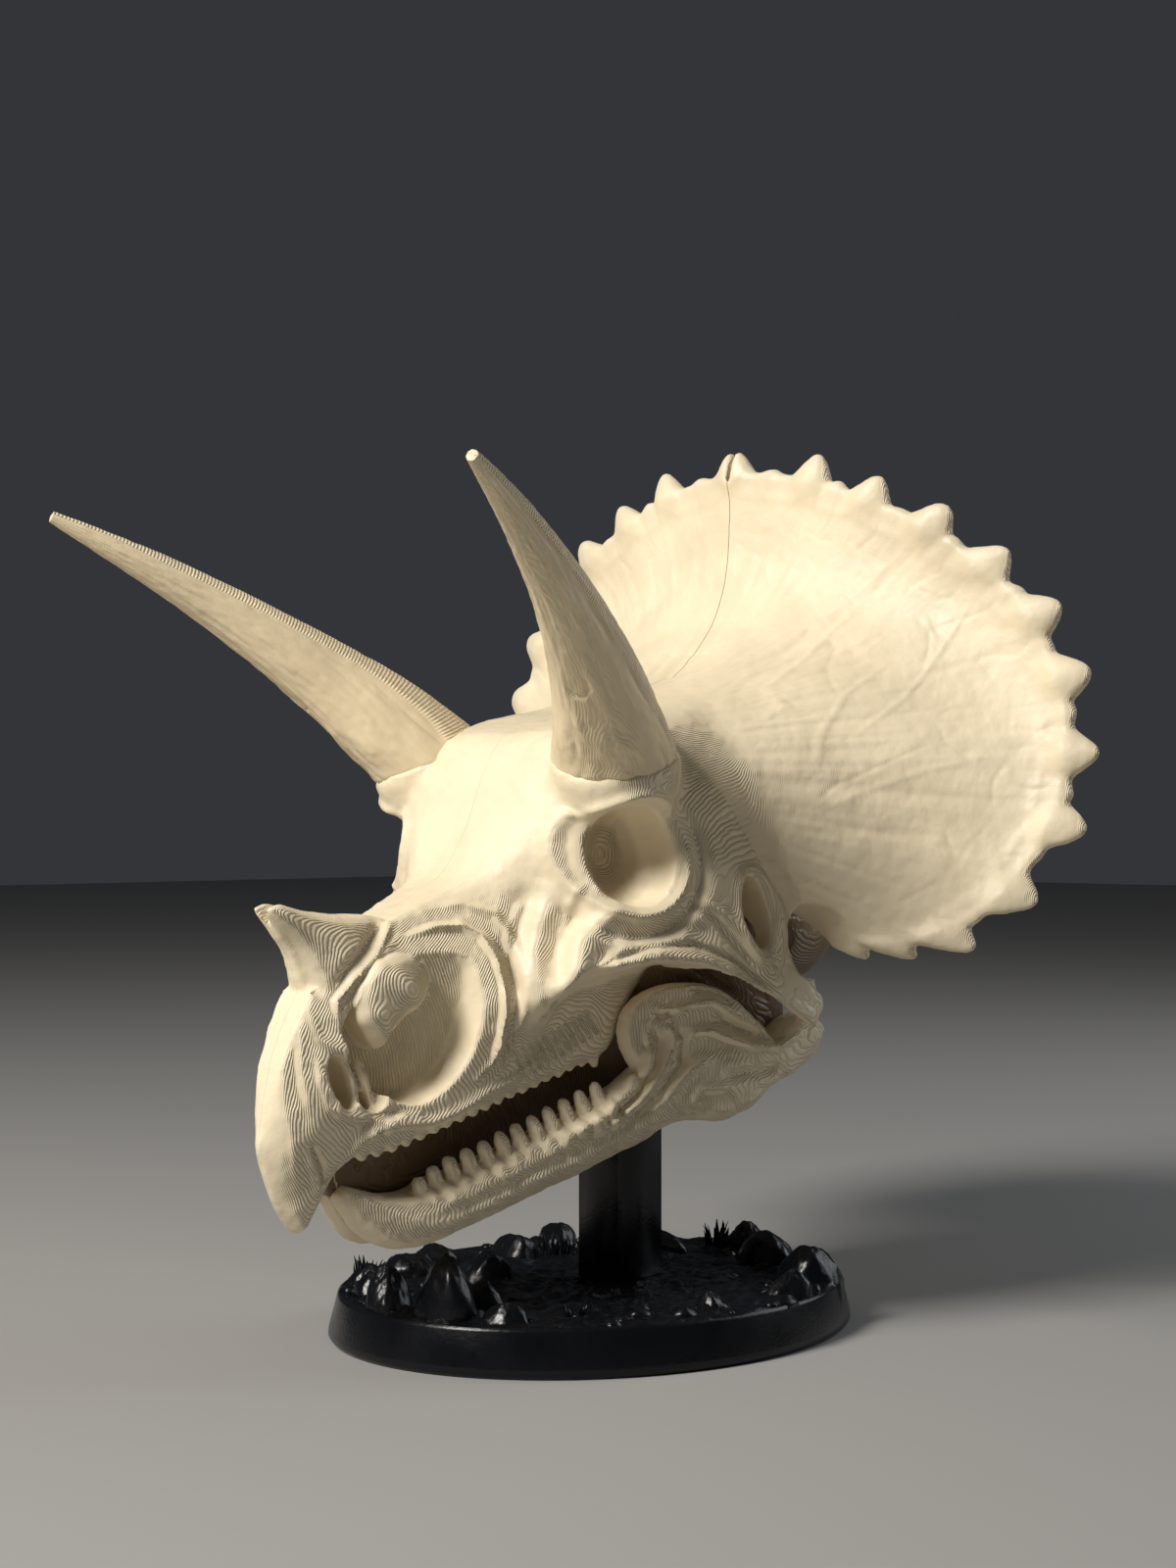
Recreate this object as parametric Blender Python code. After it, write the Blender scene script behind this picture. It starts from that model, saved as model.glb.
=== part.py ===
# Printed Triceratops skull on a black rock stand: two glued half skulls, glued brow horns, two jaw halves.
# World frame: metres, +Z up, the snout points to -Y, the animal's left is +X, X = 0 is the glue plane.
# The skull is drawn in its own side-on frame: s runs back along the tooth line, h stands up from it.

from math import cos, hypot, pi, radians, sin

import bmesh
import bpy
from mathutils import Matrix, Vector

MM = 0.001
GAP = 0.3                    # clearance between neighbouring pieces, mm
SEAM = GAP / 2               # each half stops this far from the glue plane
FACES_KEPT = 0.48            # share of the cranium's faces left after thinning
OVER = -4.0                  # forms run this far past the glue plane before they are cut at it

# ---- pose of the skull on its stand (mm, degrees)
NOSE_DOWN = 20.0
MOUTH_Y = -104.0             # front end of the tooth line
MOUTH_Z = 54.0

# ---- side profile of the cranium: (s, h) and (s, half width) curves, mm
ROOF_LINE = ((-16.0, 14.0), (-12.5, 19.5), (-6.0, 30.5), (3.0, 40.5), (11.0, 47.5), (26.0, 54.0), (45.0, 56.0),
             (66.0, 57.5), (80.0, 66.0), (95.0, 81.0), (106.0, 86.5), (125.0, 85.0), (150.0, 82.0), (175.0, 81.0))
ROOF_HALF = ((-16.0, 0.8), (-8.0, 4.5), (10.0, 7.0), (40.0, 9.0), (66.0, 15.0), (85.0, 27.0), (105.0, 40.0),
             (135.0, 40.0), (160.0, 30.0), (175.0, 20.0))
SIDE_HALF = ((-16.0, 1.2), (-12.0, 5.5), (-6.0, 8.5), (6.0, 12.0), (28.0, 18.0), (56.0, 25.0), (80.0, 36.0),
             (95.0, 44.0), (112.0, 51.0), (130.0, 53.0), (150.0, 52.0), (162.0, 44.0), (175.0, 24.0))
SIDE_HEIGHT = ((-16.0, 8.0), (0.0, 20.0), (28.0, 28.0), (66.0, 36.0), (95.0, 54.0), (112.0, 50.0), (168.0, 46.0))
CHEEK_HALF = ((-16.0, 1.2), (-12.0, 5.0), (-6.0, 7.8), (6.0, 11.5), (28.0, 18.5), (56.0, 28.0), (72.0, 43.0),
              (92.0, 51.0), (120.0, 56.0), (142.0, 56.0), (150.0, 54.0), (160.0, 47.0), (175.0, 22.0))
CHEEK_EDGE = ((-16.0, 5.0), (0.0, 10.0), (28.0, 14.0), (56.0, 22.0), (72.0, 27.5), (92.0, 25.0), (110.0, 15.0),
              (125.0, 4.0), (138.0, -9.0), (145.0, -12.0), (150.0, -7.0), (161.0, 24.0), (175.0, 50.0))
GUM_HALF = ((-16.0, 1.0), (-10.0, 4.5), (0.0, 8.0), (28.0, 18.0), (56.0, 24.0), (80.0, 28.0), (100.0, 30.0),
            (130.0, 30.0), (160.0, 26.0), (175.0, 18.0))
GUM_LINE = ((-16.0, 1.0), (-14.6, -5.0), (-12.6, -10.6), (-10.4, -12.7), (-8.6, -10.6), (-2.0, -3.8), (6.0, 2.5),
            (20.0, 1.5), (60.0, 1.0), (85.0, 0.0), (96.0, 8.0), (108.0, 18.0), (150.0, 24.0), (175.0, 50.0))
PALATE = ((-16.0, 1.5), (-12.6, -10.0), (-10.4, -12.2), (-8.6, -10.0), (-2.0, -3.0), (8.0, 4.5), (60.0, 6.0),
          (96.0, 16.0), (150.0, 26.0), (175.0, 54.0))
SNOUT_END = -15.6
OCCIPUT_END = 173.0
BEAK_CUT = 4.0               # s where the beak bone meets the maxilla

# ---- openings of the face: centre (x, s, h) and radii along the surface, mm
ORBIT_CENTRE = (45.0, 97.0, 54.0)
ORBIT_RADIUS = 16.0
ORBIT_DEPTH = 12.0
ORBIT_SINK = 0.5             # centre of the socket's ball below the surface
ORBIT_TURN = 24.0            # the eye socket looks this far forward of straight out, degrees
NARIS_CENTRE = (19.5, 35.0, 30.5)
NARIS_RADII = (10.0, 22.5, 23.5)
NARIS_TURN = 17.0
FOSSA_CENTRE = (13.5, 7.0, 22.5)
FOSSA_RADII = (5.0, 4.5, 6.5)
TEMPORAL_CENTRE = (53.0, 129.0, 24.5)
TEMPORAL_RADII = (16.0, 5.5, 11.0)
NOTCH_CENTRE = (56.0, 153.0, 11.5)
NOTCH_RADII = (22.0, 14.0, 11.5)

# ---- nose horn: front edge, rear edge and half width over the height h, mm
NOSE_FRONT = ((42.0, 10.5), (55.0, 10.9), (64.5, 8.5), (72.2, 5.9))
NOSE_REAR = ((42.0, 44.0), (54.0, 43.0), (58.0, 39.0), (63.5, 25.0), (68.5, 16.5), (72.2, 11.5))
NOSE_HALF = ((42.0, 12.0), (54.0, 9.8), (63.0, 6.6), (70.0, 4.0), (72.2, 2.6))
NOSE_FOOT = 42.0
NOSE_TOP = 72.2
NOSE_CUT = (8.0, 46.5)       # the nose bone meets the snout on a line from here (s, h)
NOSE_CUT_SLOPE = 17.7        # rising towards the back by this much, degrees
NOSE_CUT_LENGTH = 38.0

# ---- brow horns, mm in the world frame, for the animal's left side
HORN_BASE = (37.5, -29.5, 163.5)
HORN_BEND = (64.5, -67.0, 203.5)
HORN_TIP = (87.6, -128.6, 232.1)
HORN_FOOT_FACING = (0.2, -0.3, 0.93)     # the foot is cut square to this line
HORN_RADII = ((0.0, 17.6), (0.07, 16.4), (0.2, 13.6), (0.37, 10.6), (0.62, 7.0), (0.82, 4.4), (0.96, 2.0), (1.0, 0.9))
HORN_SIDES = 12
HORN_RINGS = 12
HORN_LIP = 1.3               # the collar under a horn stands out this much

# ---- frill: polar about the line x = 0, z = FRILL_AXIS_Z, angles from straight up, mm and degrees
FRILL_AXIS_Z = 164.0
FRILL_START = -4.0
FRILL_END = 131.0
FRILL_ROOT = ((0.0, 14.0), (45.0, 22.0), (90.0, 40.0), (115.0, 48.0), (131.0, 56.0))
FRILL_MARGIN = ((0.0, 88.5), (19.0, 89.0), (45.0, 96.0), (68.0, 108.0), (90.0, 113.5), (110.0, 109.0),
                (122.0, 96.0), (131.0, 76.0))
FRILL_ROOT_Y = ((0.0, 13.0), (45.0, 4.0), (90.0, -4.0), (115.0, 6.0), (131.0, 18.0))
FRILL_RIM_Y = ((0.0, 59.5), (32.0, 64.0), (45.0, 67.5), (68.0, 75.0), (78.0, 76.0), (90.0, 73.0), (100.0, 69.0),
               (110.0, 60.0), (120.0, 49.5), (131.0, 39.0))
FRILL_DISH = ((0.0, 3.6), (45.0, 2.4), (90.0, 1.6), (131.0, 1.2))
FRILL_THICK_ROOT = 9.0
FRILL_THICK_RIM = 5.0
FRILL_ROUND_RIM = 1.6        # the edge bulges out this far between its two faces
FRILL_ROOM = 0.5             # the skull is cut back this far from the frill's curved faces
FRILL_END_ROOM = 3.0         # and this many degrees past its lower end
SPIKE_ANGLES = (0.0, 19.0, 32.3, 45.2, 56.9, 67.9, 77.9, 89.2, 99.5, 110.4, 119.9, 126.0)
SPIKE_TIP = ((0.0, 96.6), (19.0, 97.2), (32.0, 99.3), (45.0, 104.6), (57.0, 110.4), (68.0, 116.9), (78.0, 119.9),
             (90.0, 122.4), (100.0, 121.3), (110.0, 117.0), (120.0, 108.8), (126.0, 94.5))
SPIKE_ROOT_RADIUS = 7.4
SPIKE_FLATNESS = 0.62

# ---- lower jaw, mm in (s, h); outer and inner faces as distances from the glue plane
JAW_TIP = 3.6
JAW_END = 151.0
JAW_OUTER = ((3.0, 3.0), (8.0, 7.0), (16.0, 12.0), (30.0, 17.5), (56.0, 25.5), (80.0, 34.0), (100.0, 42.0),
             (125.0, 48.0), (151.0, 50.0))
JAW_INNER = ((3.0, SEAM), (28.0, SEAM), (40.0, 7.0), (56.0, 14.5), (80.0, 23.0), (100.0, 32.0), (125.0, 38.5),
             (151.0, 44.0))
JAW_BOTTOM = ((3.0, -9.0), (7.0, -19.0), (14.0, -27.0), (25.0, -30.5), (56.0, -29.5), (85.0, -28.0),
              (96.0, -26.5), (104.0, -29.0), (112.0, -32.0), (119.0, -32.0), (128.0, -29.5), (145.0, -27.5),
              (151.0, -23.0))
JAW_TOP = ((3.0, -3.0), (8.0, -7.5), (16.0, -13.5), (26.0, -16.0), (60.0, -14.5), (84.0, -12.0), (92.0, -4.0),
           (100.0, 9.0), (107.0, 11.0), (114.0, 6.0), (121.0, -3.0), (128.0, -11.0), (139.0, -13.0), (151.0, -16.0))

# ---- jaw joint: a ball on the skull in a cup of the jaw, (x, s, h) and radius, mm
JOINT_CENTRE = (51.6, 144.5, -10.0)
JOINT_RADIUS = 4.6

# ---- wall that closes the mouth between the two jaws: half width and lower edge over s, mm
WALL_HALF = ((6.0, 1.5), (20.0, 4.0), (34.0, 5.5), (42.0, 7.0), (50.0, 10.5), (66.0, 15.0), (80.0, 21.0), (88.0, 25.0),
             (100.0, 28.0), (125.0, 32.0), (140.0, 34.0))
WALL_LOW = ((6.0, -4.6), (12.0, -9.5), (20.0, -13.8), (30.0, -15.2), (40.0, -15.0), (46.0, -19.0), (60.0, -21.0),
            (120.0, -21.0), (140.0, -16.0))
WALL_SPAN = (6.0, 140.0)
WALL_RISE = 9.0              # its top is buried this far above the gum line

# ---- teeth, mm
LOWER_TEETH = 12
LOWER_TEETH_SPAN = (17.0, 88.0)
LOWER_TOOTH_TIP = -8.6
UPPER_TEETH = 13
UPPER_TEETH_SPAN = (13.0, 82.0)
UPPER_TOOTH_TIP = -2.6
TOOTH_RADIUS = 2.2
TOOTH_SIDES = 5

# ---- stand, mm
BASE_LONG = 82.0             # half length of the plinth along Y
BASE_WIDE = 69.0             # half width of the plinth along X
BASE_HEIGHT = 13.0
BASE_LEAN = 0.965            # top outline over bottom outline
BASE_SIDES = 44
POST_SIDE = 18.4
POST_Y = 11.0
POST_TOP = 130.0
POST_BEVEL = 1.2
ROCK_SINK = 3.0              # rocks are sunk this far into the plinth

# rocks: x, y, half length, half width, top, turn in degrees
ROCKS = (
    (11.0, -67.0, 10.5, 9.0, 31.0, 10.0),
    (-10.0, -70.0, 8.0, 6.5, 25.0, -30.0),
    (-43.0, -32.0, 9.5, 8.0, 20.5, 40.0),
    (-22.0, -22.0, 9.0, 7.5, 22.5, 70.0),
    (-46.0, 12.0, 9.0, 8.0, 21.0, 15.0),
    (17.0, 56.0, 11.5, 9.0, 23.5, -10.0),
    (48.0, 40.0, 9.5, 8.5, 24.0, 55.0),
    (53.0, -7.0, 6.0, 5.0, 18.0, 0.0),
    (-22.0, 50.0, 11.0, 8.5, 19.5, 30.0),
)

BONE = ("cream_print", (0.86, 0.77, 0.60, 1.0), 0.55)
BLACK = ("black_print", (0.012, 0.013, 0.017, 1.0), 0.32)


def smooth(knots, at):
    """Value at `at` of the monotone cubic curve through the (place, value) knots."""
    if at <= knots[0][0]:
        return knots[0][1]
    if at >= knots[-1][0]:
        return knots[-1][1]
    last = len(knots) - 1
    grades = [(knots[i + 1][1] - knots[i][1]) / (knots[i + 1][0] - knots[i][0]) for i in range(last)]
    span = next(i for i in range(last) if at <= knots[i + 1][0])

    def slope(i):
        if i == 0 or i == last:
            return grades[0] if i == 0 else grades[-1]
        before, after = grades[i - 1], grades[i]
        return 0.0 if before * after <= 0 else 2 * before * after / (before + after)

    (a, low), (b, high) = knots[span], knots[span + 1]
    width = b - a
    t = (at - a) / width
    return ((2 * t ** 3 - 3 * t ** 2 + 1) * low + (t ** 3 - 2 * t ** 2 + t) * width * slope(span)
            + (3 * t ** 2 - 2 * t ** 3) * high + (t ** 3 - t ** 2) * width * slope(span + 1))


def blend(a, b, share):
    return a + (b - a) * share


def ease(low, high, at):
    """0 below low, 1 above high, with a soft S between."""
    t = min(max((at - low) / (high - low), 0.0), 1.0)
    return t * t * (3 - 2 * t)


def world(x, s, h):
    """A point of the skull's own frame, in metres in the world frame."""
    tilt = radians(NOSE_DOWN)
    y = MOUTH_Y + s * cos(tilt) - h * sin(tilt)
    z = MOUTH_Z + s * sin(tilt) + h * cos(tilt)
    return Vector((x, y, z)) * MM


def skull_turn(turn_out=0.0):
    """Rotation of a shape set along the skull and turned outwards by some degrees about its upright."""
    return Matrix.Rotation(radians(NOSE_DOWN), 4, "X") @ Matrix.Rotation(radians(turn_out), 4, "Z")


def material(look):
    name, colour, roughness = look
    made = bpy.data.materials.get(name)
    if made is None:
        made = bpy.data.materials.new(name)
        made.use_nodes = True
        shader = made.node_tree.nodes["Principled BSDF"]
        shader.inputs["Base Color"].default_value = colour
        shader.inputs["Roughness"].default_value = roughness
        shader.inputs["Metallic"].default_value = 0.0
    return made


def place(name, shape, look=BONE):
    """Put a bmesh into the scene as an object with its material."""
    mesh = bpy.data.meshes.new(name)
    bmesh.ops.recalc_face_normals(shape, faces=shape.faces)
    shape.to_mesh(mesh)
    shape.free()
    thing = bpy.data.objects.new(name, mesh)
    thing.data.materials.append(material(look))
    bpy.context.scene.collection.objects.link(thing)
    return thing


def loft(name, rings, look=BONE):
    """Closed body through equal rings of points, with a flat cap at each end."""
    shape = bmesh.new()
    loops = [[shape.verts.new(point) for point in ring] for ring in rings]
    for near, far in zip(loops, loops[1:]):
        for i in range(len(near)):
            j = (i + 1) % len(near)
            shape.faces.new((near[i], near[j], far[j], far[i]))
    shape.faces.new(loops[0])
    shape.faces.new(loops[-1])
    return place(name, shape, look)


def settle(thing):
    """Replace an object's mesh by what its modifiers make of it."""
    bpy.context.view_layer.update()
    seen = thing.evaluated_get(bpy.context.evaluated_depsgraph_get())
    mesh = bpy.data.meshes.new_from_object(seen)
    thing.modifiers.clear()
    thing.data = mesh


def drop(thing):
    bpy.data.objects.remove(thing)


def combine(thing, tool, operation, keep_tool=False):
    """Boolean of an object with a tool object."""
    step = thing.modifiers.new(operation.lower(), "BOOLEAN")
    step.operation = operation
    step.object = tool
    step.solver = "EXACT"
    settle(thing)
    if not keep_tool:
        drop(tool)


def thin_out(thing, share):
    """Fewer faces for the same form."""
    step = thing.modifiers.new("fewer_faces", "DECIMATE")
    step.ratio = share
    settle(thing)


def copy_of(thing, name):
    twin = bpy.data.objects.new(name, thing.data.copy())
    bpy.context.scene.collection.objects.link(twin)
    return twin


def mirrored(thing, name):
    """The same piece on the other side of the glue plane."""
    twin = copy_of(thing, name)
    shape = bmesh.new()
    shape.from_mesh(twin.data)
    bmesh.ops.transform(shape, matrix=Matrix.Scale(-1, 4, (1, 0, 0)), verts=shape.verts)
    bmesh.ops.reverse_faces(shape, faces=shape.faces)
    shape.to_mesh(twin.data)
    shape.free()
    return twin


def ball(name, centre, radii, turn, segments=16, rings=9):
    """Stretched ball at a point of the skull's frame."""
    shape = bmesh.new()
    bmesh.ops.create_uvsphere(shape, u_segments=segments, v_segments=rings, radius=1.0)
    shift = Matrix.Translation(world(*centre))
    size = Matrix.Diagonal((radii[0] * MM, radii[1] * MM, radii[2] * MM, 1.0))
    bmesh.ops.transform(shape, matrix=shift @ skull_turn(turn) @ size, verts=shape.verts)
    return place(name, shape)


def block(name, corner, opposite, look=BONE):
    """Box between two world corners, mm."""
    shape = bmesh.new()
    bmesh.ops.create_cube(shape, size=1.0)
    middle = (Vector(corner) + Vector(opposite)) * 0.5 * MM
    size = (Vector(opposite) - Vector(corner)) * MM
    fit = Matrix.Translation(middle) @ Matrix.Diagonal((size.x, size.y, size.z, 1.0))
    bmesh.ops.transform(shape, matrix=fit, verts=shape.verts)
    return place(name, shape, look)


def half_space(name, point, normal, reach=400.0):
    """Huge box on the side of a plane that its normal points to; point in world mm."""
    shape = bmesh.new()
    bmesh.ops.create_cube(shape, size=1.0)
    turn = Vector(normal).to_track_quat("Z", "Y").to_matrix().to_4x4()
    lift = Matrix.Translation((0, 0, 0.5))
    size = Matrix.Scale(reach * MM, 4)
    bmesh.ops.transform(shape, matrix=Matrix.Translation(Vector(point) * MM) @ turn @ size @ lift, verts=shape.verts)
    return place(name, shape)


def part_at(thing, name, point, normal):
    """Cut the piece beyond a plane off into its own object, with the thin gap between the two."""
    step = Vector(normal).normalized() * (GAP / 2)
    beyond = copy_of(thing, name)
    combine(beyond, half_space("beyond", Vector(point) + step, normal), "INTERSECT")
    combine(thing, half_space("before", Vector(point) - step, normal), "DIFFERENCE")
    return beyond


def through(points, steps):
    """Rounded line through hand-set points: the given number of steps in each span."""
    ends = [points[0]] + list(points) + [points[-1]]
    line = []
    for a, b, c, d in zip(ends, ends[1:], ends[2:], ends[3:]):
        for k in range(steps):
            t = k / steps
            line.append(tuple(
                0.5 * (2 * q + (r - p) * t + (2 * p - 5 * q + 4 * r - u) * t * t + (3 * q - p - 3 * r + u) * t ** 3)
                for p, q, r, u in zip(a, b, c, d)))
    line.append(tuple(points[-1]))
    return line


# ---------------------------------------------------------------- cranium
def cranium_ring(s):
    """Half cross-section at s: roof, side, cheek edge, gum and palate, closed by the glue plane."""
    roof = smooth(ROOF_LINE, s)
    crown = smooth(ROOF_HALF, s)
    side, side_h = smooth(SIDE_HALF, s), smooth(SIDE_HEIGHT, s)
    cheek, cheek_h = smooth(CHEEK_HALF, s), smooth(CHEEK_EDGE, s)
    gum, gum_h = smooth(GUM_HALF, s), smooth(GUM_LINE, s)
    palate = smooth(PALATE, s)
    open_cheek = ease(50.0, 76.0, s)
    drop_to_gum = 0.75 * (cheek_h - gum_h) if cheek_h > gum_h else -2.0
    outline = (
        (OVER, roof),
        (crown * 0.55, roof - 0.4),
        (crown, roof - 0.12 * crown - 1.0),
        (side, side_h),
        (cheek, cheek_h + 3.0 * open_cheek),
        (blend((cheek + gum) / 2, cheek - 3.0, open_cheek), blend((cheek_h + gum_h) / 2, cheek_h, open_cheek)),
        (blend(gum + 0.3, max(gum + 3.0, cheek - 9.0 - 8.0 * ease(96.0, 110.0, 220.0 - s)), open_cheek),
         gum_h + blend(3.0, drop_to_gum, open_cheek)),
        (gum, gum_h + 0.8),
        (gum * 0.86, gum_h),
        (gum * 0.62, blend(gum_h, palate, 0.7)),
        (OVER, palate),
    )
    return [world(x, s, h) for x, h in through(outline, 2)]


def make_cranium():
    count = 27
    stations = [blend(SNOUT_END, OCCIPUT_END, i / (count - 1)) for i in range(count)]
    return loft("cranium_left", [cranium_ring(s) for s in stations])


def add_nose_horn(cranium):
    """Short upright horn on the snout: half ellipses between its front and rear edges, stacked upwards."""
    rings = []
    levels = 8
    around = 7
    for i in range(levels):
        h = blend(NOSE_FOOT, NOSE_TOP, i / (levels - 1))
        front, rear, out = smooth(NOSE_FRONT, h), smooth(NOSE_REAR, h), smooth(NOSE_HALF, h)
        middle, along = (front + rear) / 2, (rear - front) / 2
        ring = [world(OVER, front, h)]
        for k in range(around + 1):
            turn = pi * k / around
            ring.append(world(out * sin(turn) ** 0.8, middle - along * cos(turn), h))
        ring.append(world(OVER, rear, h))
        rings.append(ring)
    combine(cranium, loft("nose_horn_form", rings), "UNION")


def nose_block(name, swell):
    """The wedge of space that the nose bone fills above the snout."""
    shape = bmesh.new()
    bmesh.ops.create_cube(shape, size=1.0)
    s, h = NOSE_CUT
    turn = Matrix.Rotation(radians(NOSE_DOWN + NOSE_CUT_SLOPE), 4, "X")
    size = Matrix.Diagonal((60 * MM, (NOSE_CUT_LENGTH + 40 + swell) * MM, 60 * MM, 1.0))
    start = turn @ Matrix.Translation(Vector((0, (NOSE_CUT_LENGTH - 40 + swell) / 2, 30 - swell)) * MM)
    bmesh.ops.transform(shape, matrix=Matrix.Translation(world(0, s, h)) @ start @ size, verts=shape.verts)
    return place(name, shape)


def split_nose_and_beak(cranium):
    """Part the nose bone and the beak bone from the rest of the face with thin cuts."""
    nose = copy_of(cranium, "nose_horn_left")
    combine(nose, nose_block("nose_space", 0.0), "INTERSECT")
    combine(cranium, nose_block("nose_space", GAP), "DIFFERENCE")
    front = world(0, BEAK_CUT, 20.0) / MM
    tilt = radians(NOSE_DOWN)
    beak = part_at(cranium, "beak_left", front, (0, -cos(tilt), -sin(tilt)))
    return nose, beak


def carve_face(cranium):
    """Eye socket, nostril with its small fossa, side temporal opening and the ear notch."""
    turned = radians(ORBIT_TURN)
    x, s, h = ORBIT_CENTRE
    centre = (x - ORBIT_SINK * cos(turned), s + ORBIT_SINK * sin(turned), h)
    combine(cranium, ball("orbit", centre, (ORBIT_DEPTH, ORBIT_RADIUS, ORBIT_RADIUS), -ORBIT_TURN), "DIFFERENCE")
    combine(cranium, ball("naris", NARIS_CENTRE, NARIS_RADII, -NARIS_TURN), "DIFFERENCE")
    combine(cranium, ball("fossa", FOSSA_CENTRE, FOSSA_RADII, -NARIS_TURN, 12, 8), "DIFFERENCE")
    combine(cranium, ball("temporal", TEMPORAL_CENTRE, TEMPORAL_RADII, 0.0, 14, 10), "DIFFERENCE")
    combine(cranium, ball("ear_notch", NOTCH_CENTRE, NOTCH_RADII, 0.0, 14, 10), "DIFFERENCE")


def tooth_row(name, count, span, line_half, root, tip, thick, lean=0.0):
    """Row of tapered pegs along a gum line; root and tip give their ends as h at each s."""
    row = bmesh.new()
    for i in range(count):
        s = blend(span[0], span[1], i / (count - 1))
        x = line_half(s)
        low = world(x, s, root(s))
        high = world(x - lean, s, tip(s))
        axis = (high - low).normalized()
        wide = Vector((1, 0, 0))
        along = axis.cross(wide).normalized()
        rings = []
        for share, size in ((0.0, 1.0), (1.0, 0.5)):
            centre = low.lerp(high, share)
            rings.append([row.verts.new(centre + thick * size * MM * (cos(a) * wide * 0.9 + sin(a) * along))
                          for a in (2 * pi * k / TOOTH_SIDES for k in range(TOOTH_SIDES))])
        for near, far in zip(rings, rings[1:]):
            for k in range(TOOTH_SIDES):
                j = (k + 1) % TOOTH_SIDES
                row.faces.new((near[k], near[j], far[j], far[k]))
        row.faces.new(rings[0])
        row.faces.new(rings[-1])
    return place(name, row)


def add_upper_teeth(cranium):
    row = tooth_row("upper_teeth", UPPER_TEETH, UPPER_TEETH_SPAN,
                    lambda s: smooth(GUM_HALF, s) * 0.93 - 1.6,
                    lambda s: smooth(GUM_LINE, s) + 2.5,
                    lambda s: smooth(GUM_LINE, s) + UPPER_TOOTH_TIP, TOOTH_RADIUS)
    combine(cranium, row, "UNION")


def add_mouth_wall(cranium):
    """Solid core between the tooth rows, which stays clear of the lower jaw."""
    rings = []
    count = 13
    for i in range(count):
        s = blend(*WALL_SPAN, i / (count - 1))
        half, low, high = smooth(WALL_HALF, s), smooth(WALL_LOW, s), smooth(GUM_LINE, s) + WALL_RISE
        rings.append([world(x, s, h) for x, h in ((OVER, high), (half, high), (half, low + 1.5), (half - 1.5, low),
                                                  (OVER, low))])
    combine(cranium, loft("mouth_wall", rings), "UNION")


def joint_ball(name, swell):
    return ball(name, JOINT_CENTRE, (JOINT_RADIUS + swell,) * 3, 0.0, 10, 6)


# ---------------------------------------------------------------- brow horns
def horn_centre(share):
    """Quadratic curve from the foot to the tip, mm."""
    a, b, c = (Vector(p) for p in (HORN_BASE, HORN_BEND, HORN_TIP))
    return a * (1 - share) ** 2 + b * 2 * share * (1 - share) + c * share ** 2


def horn_heading(share):
    """Direction square to the horn's section: the foot's facing at first, then the curve's own."""
    a, b, c = (Vector(p) for p in (HORN_BASE, HORN_BEND, HORN_TIP))
    along = ((b - a) * (1 - share) + (c - b) * share).normalized()
    return Vector(HORN_FOOT_FACING).normalized().lerp(along, ease(0.0, 0.3, share)).normalized()


def horn_ring(share, radius, lift=0.0):
    heading = horn_heading(share)
    across = heading.cross(Vector((0, 1, 0))).normalized()
    upright = across.cross(heading)
    centre = horn_centre(share) + heading * lift
    return [(centre + radius * (cos(a) * across + sin(a) * upright)) * MM
            for a in (2 * pi * k / HORN_SIDES for k in range(HORN_SIDES))]


def make_horn(name="brow_horn_left", swell=0.0, end=1.0):
    """Tapering horn; a swollen, shorter one serves as its clearance in the skull."""
    rings = [horn_ring(0.0, smooth(HORN_RADII, 0.0) + swell, -swell)] if swell else []
    for i in range(HORN_RINGS):
        share = end * i / (HORN_RINGS - 1)
        rings.append(horn_ring(share, smooth(HORN_RADII, share) + swell))
    return loft(name, rings)


def add_horn_collar(cranium):
    """Raised collar under the horn; its lip stands a little above the horn's foot."""
    wide = smooth(HORN_RADII, 0.0)
    rings = [horn_ring(0.0, 0.9 * wide, -16.0), horn_ring(0.0, wide + HORN_LIP, -4.0),
             horn_ring(0.0, wide + 0.9 * HORN_LIP, 1.0)]
    combine(cranium, loft("collar", rings), "UNION")


# ---------------------------------------------------------------- frill
def frill_face(angle, share):
    """Front face of the frill: a dish that leaves the skull at share 0 and ends at its margin at share 1."""
    root, margin = smooth(FRILL_ROOT, angle), smooth(FRILL_MARGIN, angle)
    radius = blend(root, margin, share)
    root_y, rim_y = smooth(FRILL_ROOT_Y, angle), smooth(FRILL_RIM_Y, angle)
    y = rim_y - (rim_y - root_y) * (1 - share) ** smooth(FRILL_DISH, angle)
    turn = radians(angle)
    return Vector((radius * sin(turn), y, FRILL_AXIS_Z + radius * cos(turn)))


def frill_normal(angle, share):
    """Unit normal of the face, towards the front."""
    step = 0.01
    inward = frill_face(angle, min(share + step, 1.0)) - frill_face(angle, max(share - step, 0.0))
    around = frill_face(min(angle + 0.5, FRILL_END), share) - frill_face(max(angle - 0.5, 0.0), share)
    return inward.cross(around).normalized()


def onto_section(point, angle):
    """The point turned about the frill's axis into the flat section at this angle."""
    radius = hypot(point.x, point.z - FRILL_AXIS_Z)
    return Vector((radius * sin(radians(angle)), point.y, FRILL_AXIS_Z + radius * cos(radians(angle))))


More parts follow.
